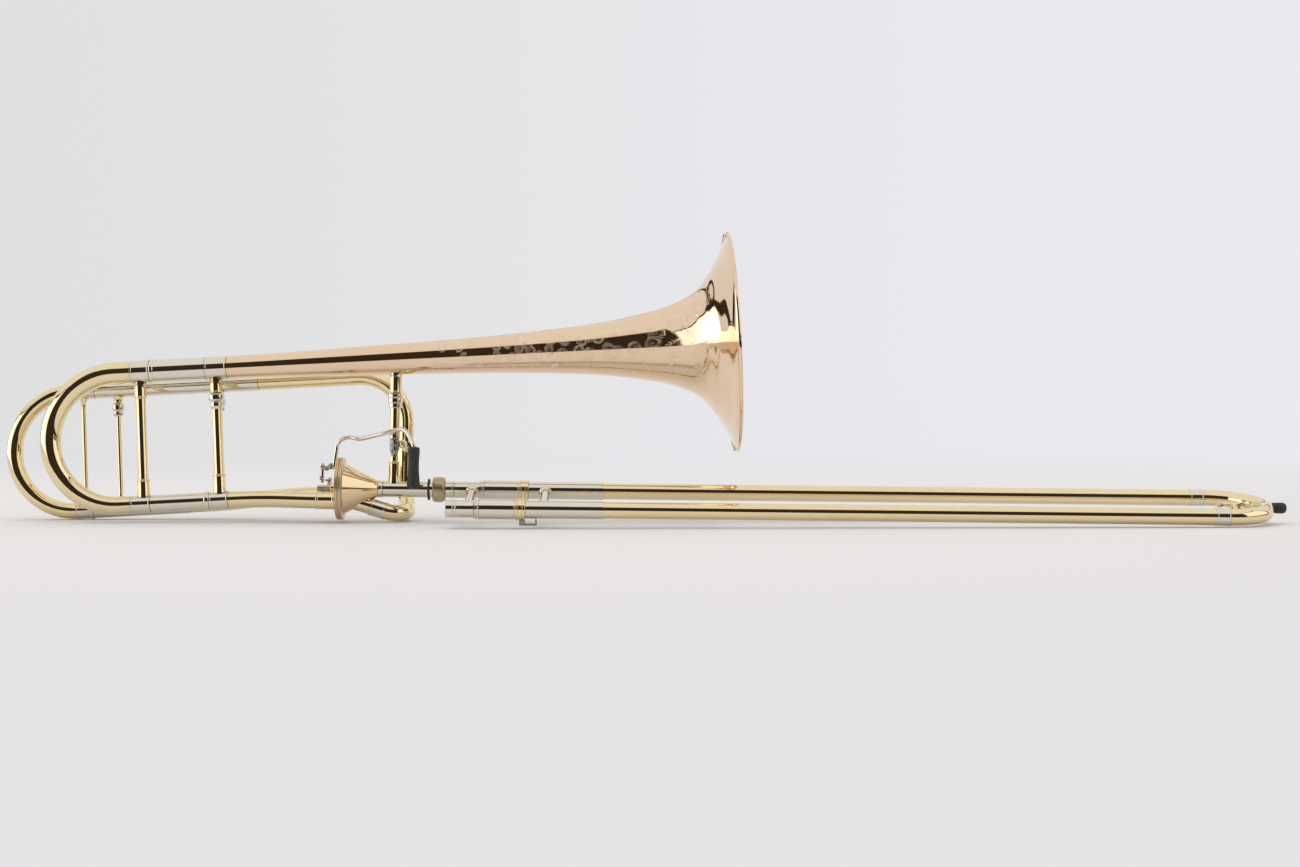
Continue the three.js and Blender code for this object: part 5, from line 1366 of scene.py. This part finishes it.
@dataclass
class SlidePiece(Assembly):
    """What the pieces of the hand slide share."""

    plane: Plane = Plane.SLIDE
    near: float = -86.0
    clamp: tuple[tuple[float, float], ...] = (
        (-78, 9.8), (-77.7, 10.3), (-76.4, 10.3), (-76.1, 9.7), (-75.7, 9.7), (-75.4, 10.3), (-72.3, 10.3),
        (-72.0, 9.7), (-71.6, 9.7), (-71.3, 10.3), (-69.3, 10.3), (-69, 9.8),
    )

    def brace(self, name: str, place: float, near_radius: float, far_radius: float) -> None:
        """Makes a brace across the slide with a shaped foot at each tube.

        Args:
            name: Its name.
            place: Its place along the slide.
            near_radius: The near tube's radius.
            far_radius: The far tube's radius.
        """
        low, high = self.near + near_radius + 0.3, -far_radius - 0.3
        foot = ((0.0, 6.2), (1.6, 6.2), (2.2, 5.9), (2.8, 5.0), (3.8, 4.5), (5.2, 4.25), (7.5, 4.2))
        outline = [(low + a, r) for a, r in foot] + [(high - a, r) for a, r in reversed(foot)]
        saddles = ((low, True, near_radius + 0.3), (high, False, far_radius + 0.3))
        self.turned(name, outline, 3.3, saddles=saddles, lie=Lie.ACROSS, offset=(place, 0, 0))


@dataclass
class SlideSection(SlidePiece):
    """The inner slide: mouthpiece receiver, barrels, inner tubes, brace and tenon."""

    inner: float = 7.2
    bore: float = 6.95

    def build(self) -> None:
        """Makes the inner slide."""
        tenon = [
            (-185.7, 6.3), (-185.4, 6.5), (-156.9, 6.5), (-156.9, 8.3), (-154.1, 8.3), (-154.1, 7.1), (-148.3, 7.1),
            (-148.3, 8.0), (-143.5, 8.0),
        ]
        self.turned("slide_tenon", tenon, 5.9, soft=0.15)
        ring = [
            (-143.5, 8.1), (-143.3, 8.45), (-142.4, 8.45), (-142.2, 8.15), (-141.8, 8.15), (-141.6, 8.45),
            (-140.8, 8.45), (-140.6, 8.1),
        ]
        self.turned("tenon_ring", ring, 5.9, soft=0.1, replaces=("slide_tenon",))
        self.turned("far_neck", [(-140.3, 8.0), (-116.2, 8.0)], self.bore, replaces=("inner_slide_far",))
        ring = [
            (-116.2, 8.6), (-115.9, 9.6), (-115.0, 9.6), (-114.6, 8.9), (-112.9, 8.9), (-112.5, 9.9), (-111.6, 9.9),
            (-111.3, 9.4),
        ]
        barrel = [(-111.3, 9.5), (-79.2, 9.5), (-78.8, 9.05), (-72.5, 9.05)]
        for name, y in (("far", 0.0), ("near", self.near)):
            add = partial(self.turned, replaces=(f"inner_slide_{name}",), offset=(0, y, 0))
            add(f"{name}_barrel_ring", ring, 7.3, soft=0.12)
            add(f"{name}_cork_barrel", barrel, 8.3)
            add(f"{name}_inner_tube", [(-111, self.inner), (563, self.inner)], self.bore, soft=0.1)
        self.turned("far_slide_ring", self.clamp, 9.3, Finishes.YELLOW, soft=0.12)
        mouth = [
            (-142.6, 6.2), (-142.6, 7.9), (-142.2, 8.3), (-136.5, 8.3), (-136.2, 8.1), (-136.0, 8.6), (-135.3, 8.6),
            (-135.0, 8.2), (-133.8, 8.2), (-133.5, 8.6), (-132.8, 8.6), (-132.5, 8.1), (-116.5, 8.1), (-116.5, 5.7),
        ]
        receiver = BENCH.turn(mouth, 56)
        BENCH.soften(receiver, 0.15)
        self.place(receiver, "mouthpiece_receiver", Finishes.NICKEL, lie=Lie.ALONG, offset=(0, self.near, 0))
        self.brace("inner_brace", -123.0, 8.1, 8.0)


@dataclass
class SlideNut(SlidePiece):
    """The ring nut that locks the slide to the receiver."""

    def build(self) -> None:
        """Makes the nut."""
        outline = [
            (-161.2, 9.6), (-161.2, 10.3), (-160.9, 11.0), (-160.2, 11.6), (-158.6, 12.0), (-155.3, 12.25),
            (-152.2, 12.05), (-150.7, 11.6), (-149.8, 10.9), (-149.4, 10.1), (-149.4, 7.8), (-153.8, 7.8),
            (-153.8, 9.6),
        ]
        nut = BENCH.turn(outline, 288)
        BENCH.knurl(nut, 11.6, 48, 0.009)
        rim = [(-149.4, 9.6), (-149.2, 10.1), (-148.8, 10.1), (-148.6, 9.7)]
        self.turned("slide_nut_rim", rim, 7.8, Finishes.YELLOW, soft=0.1, replaces=("slide_nut",))
        self.place(nut, "slide_nut", Finishes.SATIN, lie=Lie.ALONG)


@dataclass
class SlideLock(SlidePiece):
    """The lock ring on the near barrel, whose hook holds the outer slide's stud."""

    def build(self) -> None:
        """Makes the lock ring."""
        ring = {"replaces": ("slide_lock",), "offset": (0, self.near, 0)}
        self.turned("slide_lock_ring", self.clamp, 9.3, Finishes.YELLOW, soft=0.12, **ring)
        boxes = ((-74.5, -69, -15.0, -9.9), (-70, -58.1, -15.0, -13.2), (-59.9, -58.1, -14, -9.4))
        y0, y1 = self.near - 1.8, self.near + 1.8
        hook = BENCH.join([BENCH.box((x0, y0, z0), (x1, y1, z1)) for x0, x1, z0, z1 in boxes], 0.35)
        self.place(hook, "slide_lock_hook", Finishes.DARK, ("slide_lock",))


@dataclass
class OuterSlide(SlidePiece):
    """The outer slide: two long tubes, the hand brace, the bow and its bumper."""

    key: tuple[float, float] = (592.0, -73.8)

    def build(self) -> None:
        """Makes the outer slide."""
        for name, y in (("near", self.near), ("far", 0.0)):
            add = partial(self.turned, bore=7.55, replaces=(f"outer_slide_{name}",), offset=(0, y, 0))
            add(f"{name}_outer_sleeve", [(-68.7, 8.4), (3.5, 8.4)])
            add(f"{name}_outer_tube", [(3.5, 7.8), (573.5, 7.8)], finish=Finishes.YELLOW, soft=0)
            add(f"{name}_end_ferrule", banded(573.5, 586.5, 8.0, 0.4, 1.0))
        stud = BENCH.solid([(7.9, 1.2), (11.6, 1.2), (12.0, 0.9)], 24)
        BENCH.move(stud, shift(-63.4, self.near, 0) @ rotation(180 + 35, "X"))
        self.place(stud, "lock_stud", Finishes.NICKEL, ("outer_slide_near",))
        self.brace("hand_brace", -52.5, 8.4, 8.4)
        bow = Path((586.8, 0, 0)).straight(3.2).bend(43.0, -180, Vector((0, 0, 1)), 48).straight(3.2)
        self.tube("slide_bow", bow, 7.8)
        self.key_seat()
        bumper = [
            (641.1, 4.4), (641.6, 5.0), (643.6, 5.1), (643.9, 4.6), (644.6, 4.6), (644.9, 5.2), (648.0, 5.3),
            (648.3, 4.9), (649.0, 4.9), (649.3, 5.3), (651.6, 5.2), (653.4, 4.5), (654.1, 3.4),
        ]
        self.turned("slide_bumper", bumper, finish=Finishes.RUBBER, soft=0, offset=(0, self.near / 2, 0))

    def key_seat(self) -> None:
        """Makes the water key's ears, pin and nipple on the bow."""
        x, y = self.key
        low, high = (x - 1.5, self.near + 5.7), (x + 1.5, y + 1.5)
        ears = [BENCH.box((*low, z0), (*high, z1)) for z0, z1 in ((-5.5, -4.3), (4.3, 5.5))]
        on_bow = {"replaces": ("slide_bow",), "plane": Plane.KEY}
        self.place(BENCH.join(ears, 0.3), "water_key_ears", Finishes.YELLOW, **on_bow)
        pin = BENCH.solid([(-5.0, 0.9), (5.0, 0.9)], 24)
        self.place(pin, "water_key_pin", Finishes.NICKEL, offset=(x, y, 0), **on_bow)
        nipple = partial(self.turned, soft=0.15, lie=Lie.ACROSS, offset=(x + 9, self.near, 0), **on_bow)
        nipple("water_key_nipple", [(7.0, 3.0), (8.2, 2.8), (11.2, 2.8)], 1.6, Finishes.YELLOW)


@dataclass
class WaterKey(Assembly):
    """The water key with its cork."""

    plane: Plane = Plane.KEY
    pivot: tuple[float, float] = (592.0, -73.8)

    def build(self) -> None:
        """Makes the key."""
        x, y = self.pivot
        parts = [BENCH.box((x - 11, -72.0, -2.0), (x + 9, -70.2, 2.0))]
        cup = [(-72.0, 4.0), (-71.0, 4.0), (-70.2, 3.4)]
        pad = [(-72.0, 3.4), (-70.8, 3.4), (-70.2, 2.9)]
        for outline, step in ((cup, 9), (pad, -11)):
            parts.append(BENCH.move(BENCH.solid(outline, 40), shift(x + step, 0, 0) @ rotation(-90, "X")))
        barrel = BENCH.turn([(-4.0, 1.2), (-4.0, 2.0), (4.0, 2.0), (4.0, 1.2)], 32)
        parts.append(BENCH.move(barrel, shift(x, y, 0)))
        self.place(BENCH.join(parts, 0.25), "water_key", Finishes.YELLOW)
        cork = [(-74.5, 3.0), (-74.2, 3.2), (-72.4, 3.2), (-72.3, 3.0)]
        self.turned("water_key_cork", cork, finish=Finishes.CORK, soft=0, lie=Lie.ACROSS, offset=(x + 9, 0, 0))


@dataclass(frozen=True)
class Studio:
    """The pale table, the light and the camera."""

    camera_place: Triple = (-0.0353, -1.9301, 0.1407)
    yaw: float = 1.445
    pitch: float = 1.66
    lens: float = 54.9
    paper_left: Triple = (0.752, 0.749, 0.756)
    paper_right: Triple = (0.831, 0.82, 0.862)

    def build(self) -> None:
        """Sets up the studio."""
        self.floor()
        self.world()
        self.lamp()
        self.camera()

    def paper(self, shop: Shader, across: Sock, ahead: Sock) -> Sock:
        """Gives the backdrop's colour, a little brighter on the right, and even where ahead is 0.

        Args:
            shop: The shader that it goes to.
            across: How far to the right, from -0.33 to 0.33.
            ahead: From 0 behind the camera to 1 in front of it.

        Returns:
            The colour.
        """
        share = (across.ramp(-0.33, 0.33) - 0.5) * ahead + 0.5
        return shop.mix(share, self.paper_left, self.paper_right)

    def floor(self) -> None:
        """Adds the table, whose far part has the backdrop's own colour for the camera."""
        material = bpy.data.materials.new("Pale table")
        shop = Shader(material)
        x, y, _ = shop.split(shop.place())
        away = (x * x * 0.45 + y * y).call("SQRT").ramp(0.35, 1.9)
        camera = shop.add("ShaderNodeLightPath", {}, {}, "Is Camera Ray")
        table = shop.node("ShaderNodeBsdfDiffuse", {}, {"Color": (0.81, 0.797, 0.805, 1)})
        paper = shop.node("ShaderNodeEmission", {}, {"Color": self.paper(shop, x / (y + 2.4), y.ramp(-1.2, 0))})
        ends = {0: away * camera, 1: table.outputs[0], 2: paper.outputs[0]}
        shop.close(shop.node("ShaderNodeMixShader", {}, ends))
        for name, low, high, seen in (("Table", -1.9, 24.0, True), ("Table front", -24.0, -1.9, False)):
            bpy.ops.object.select_all(action="DESELECT")
            bpy.ops.mesh.primitive_plane_add(size=1, location=(0, (low + high) / 2, -0.0002))
            floor = bpy.context.object
            floor.name = name
            floor.scale = (48.0, high - low, 1.0)
            BENCH.apply()
            floor.visible_glossy = seen
            floor.data.materials.append(material)

    def world(self) -> None:
        """Makes the surroundings: pale paper, and for what shines a dark room between two soft boxes."""
        world = bpy.data.worlds.new("Studio")
        bpy.context.scene.world = world
        shop = Shader(world)
        x, y, z = shop.split(shop.place("Generated"))
        azimuth = shop.math("ARCTAN2", x, y * -1.0) * (180 / math.pi)
        height = z.call("ARCSINE") * (180 / math.pi)
        room = azimuth.ramp(-45, -41) * azimuth.ramp(46, 42) * height.ramp(47, 43)
        under = azimuth.ramp(-45, -41) * azimuth.ramp(112, 100) * height.ramp(4.5, 3)
        slant = height + azimuth.ramp(-84, -116) * 10.0
        left = azimuth.ramp(-117, -115) * azimuth.ramp(-42, -45)
        seam = left * slant.ramp(29.5, 30.5) * slant.ramp(33, 32)
        leaning = azimuth - height * 0.55
        gap = leaning.ramp(-134, -133) * leaning.ramp(-124.5, -125.5) * height.ramp(24, 22) * height.ramp(-1, 1)
        top = azimuth.call("ABSOLUTE").ramp(119, 121) * height.ramp(20.5, 21.3) * height.ramp(23.3, 22.5)
        right = azimuth.ramp(46, 48) * azimuth.ramp(106, 104) * height.ramp(7, 8) * height.ramp(51, 50)
        frame = azimuth.ramp(46, 48) * azimuth.ramp(110, 108) * height.ramp(54, 53) * height.ramp(4, 5) * (1.0 - right)
        dark = room
        for patch in (under, seam, gap, top, frame * 0.85):
            dark = dark.call("MAXIMUM", patch)
        hot = ((azimuth + 92.0) * (azimuth + 92.0) + (height - 5.0) * (height - 5.0)).call("SQRT").ramp(42, 2)
        shine = height.ramp(-30, 70) * 0.13 + 0.76 + left * slant.ramp(31, 29.5) * (hot * 0.9 + 0.65) + right * 0.3
        light = shop.node("ShaderNodeLightPath", {}, {}).outputs
        glossy = Sock(shop, light["Is Glossy Ray"])
        camera = Sock(shop, light["Is Camera Ray"]).call("MAXIMUM", light["Is Transmission Ray"])
        strength = camera + glossy * (shine * (1.0 - dark * 0.955)) + (1.0 - camera) * (1.0 - glossy) * 0.85
        warm = shop.mix(dark * glossy, (1.0, 0.985, 0.965), (1.0, 0.68, 0.45))
        tone = shop.mix(camera, warm, self.paper(shop, x, y.ramp(0, 0.5)))
        shop.close(shop.node("ShaderNodeBackground", {}, {"Color": tone, "Strength": strength}), "World")

    def lamp(self) -> None:
        """Adds the soft lamp above."""
        bpy.ops.object.light_add(type="AREA", location=(-0.3, 0.2, 2.2))
        lamp = bpy.context.object
        lamp.data.shape = "RECTANGLE"
        lamp.data.size, lamp.data.size_y = 2.6, 1.8
        lamp.data.energy = 11.0
        lamp.visible_glossy = False

    def camera(self) -> None:
        """Adds the camera."""
        bpy.ops.object.camera_add(location=self.camera_place)
        camera = bpy.context.object
        camera.rotation_euler = (math.radians(90 - self.pitch), 0, math.radians(-self.yaw))
        camera.data.lens = self.lens
        camera.data.sensor_width = 36.0
        camera.data.clip_end = 100.0
        bpy.context.scene.camera = camera
        bpy.context.scene.view_settings.view_transform = "Standard"


def main() -> None:
    """Builds the trombone and its studio."""
    logging.basicConfig(level=logging.INFO, format="%(message)s")
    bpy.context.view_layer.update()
    for assembly in (
        Bell("bell_section"),
        LowerRun("bell_section"),
        Valve("bell_section"),
        Braces("bell_section"),
        MainTuningSlide("main_slide"),
        FTuningSlide("f_slide"),
        ThumbLever("lever"),
        LeverLink("link"),
        Rotor("rotor"),
        SlideSection("slide_section"),
        SlideNut("slide_nut"),
        SlideLock("slide_lock"),
        OuterSlide("outer_slide"),
        WaterKey("water_key"),
    ):
        assembly.build()
        log.info("%s: %d pieces", type(assembly).__name__, len(assembly.made))
    Studio().build()


if __name__ == "__main__":
    main()
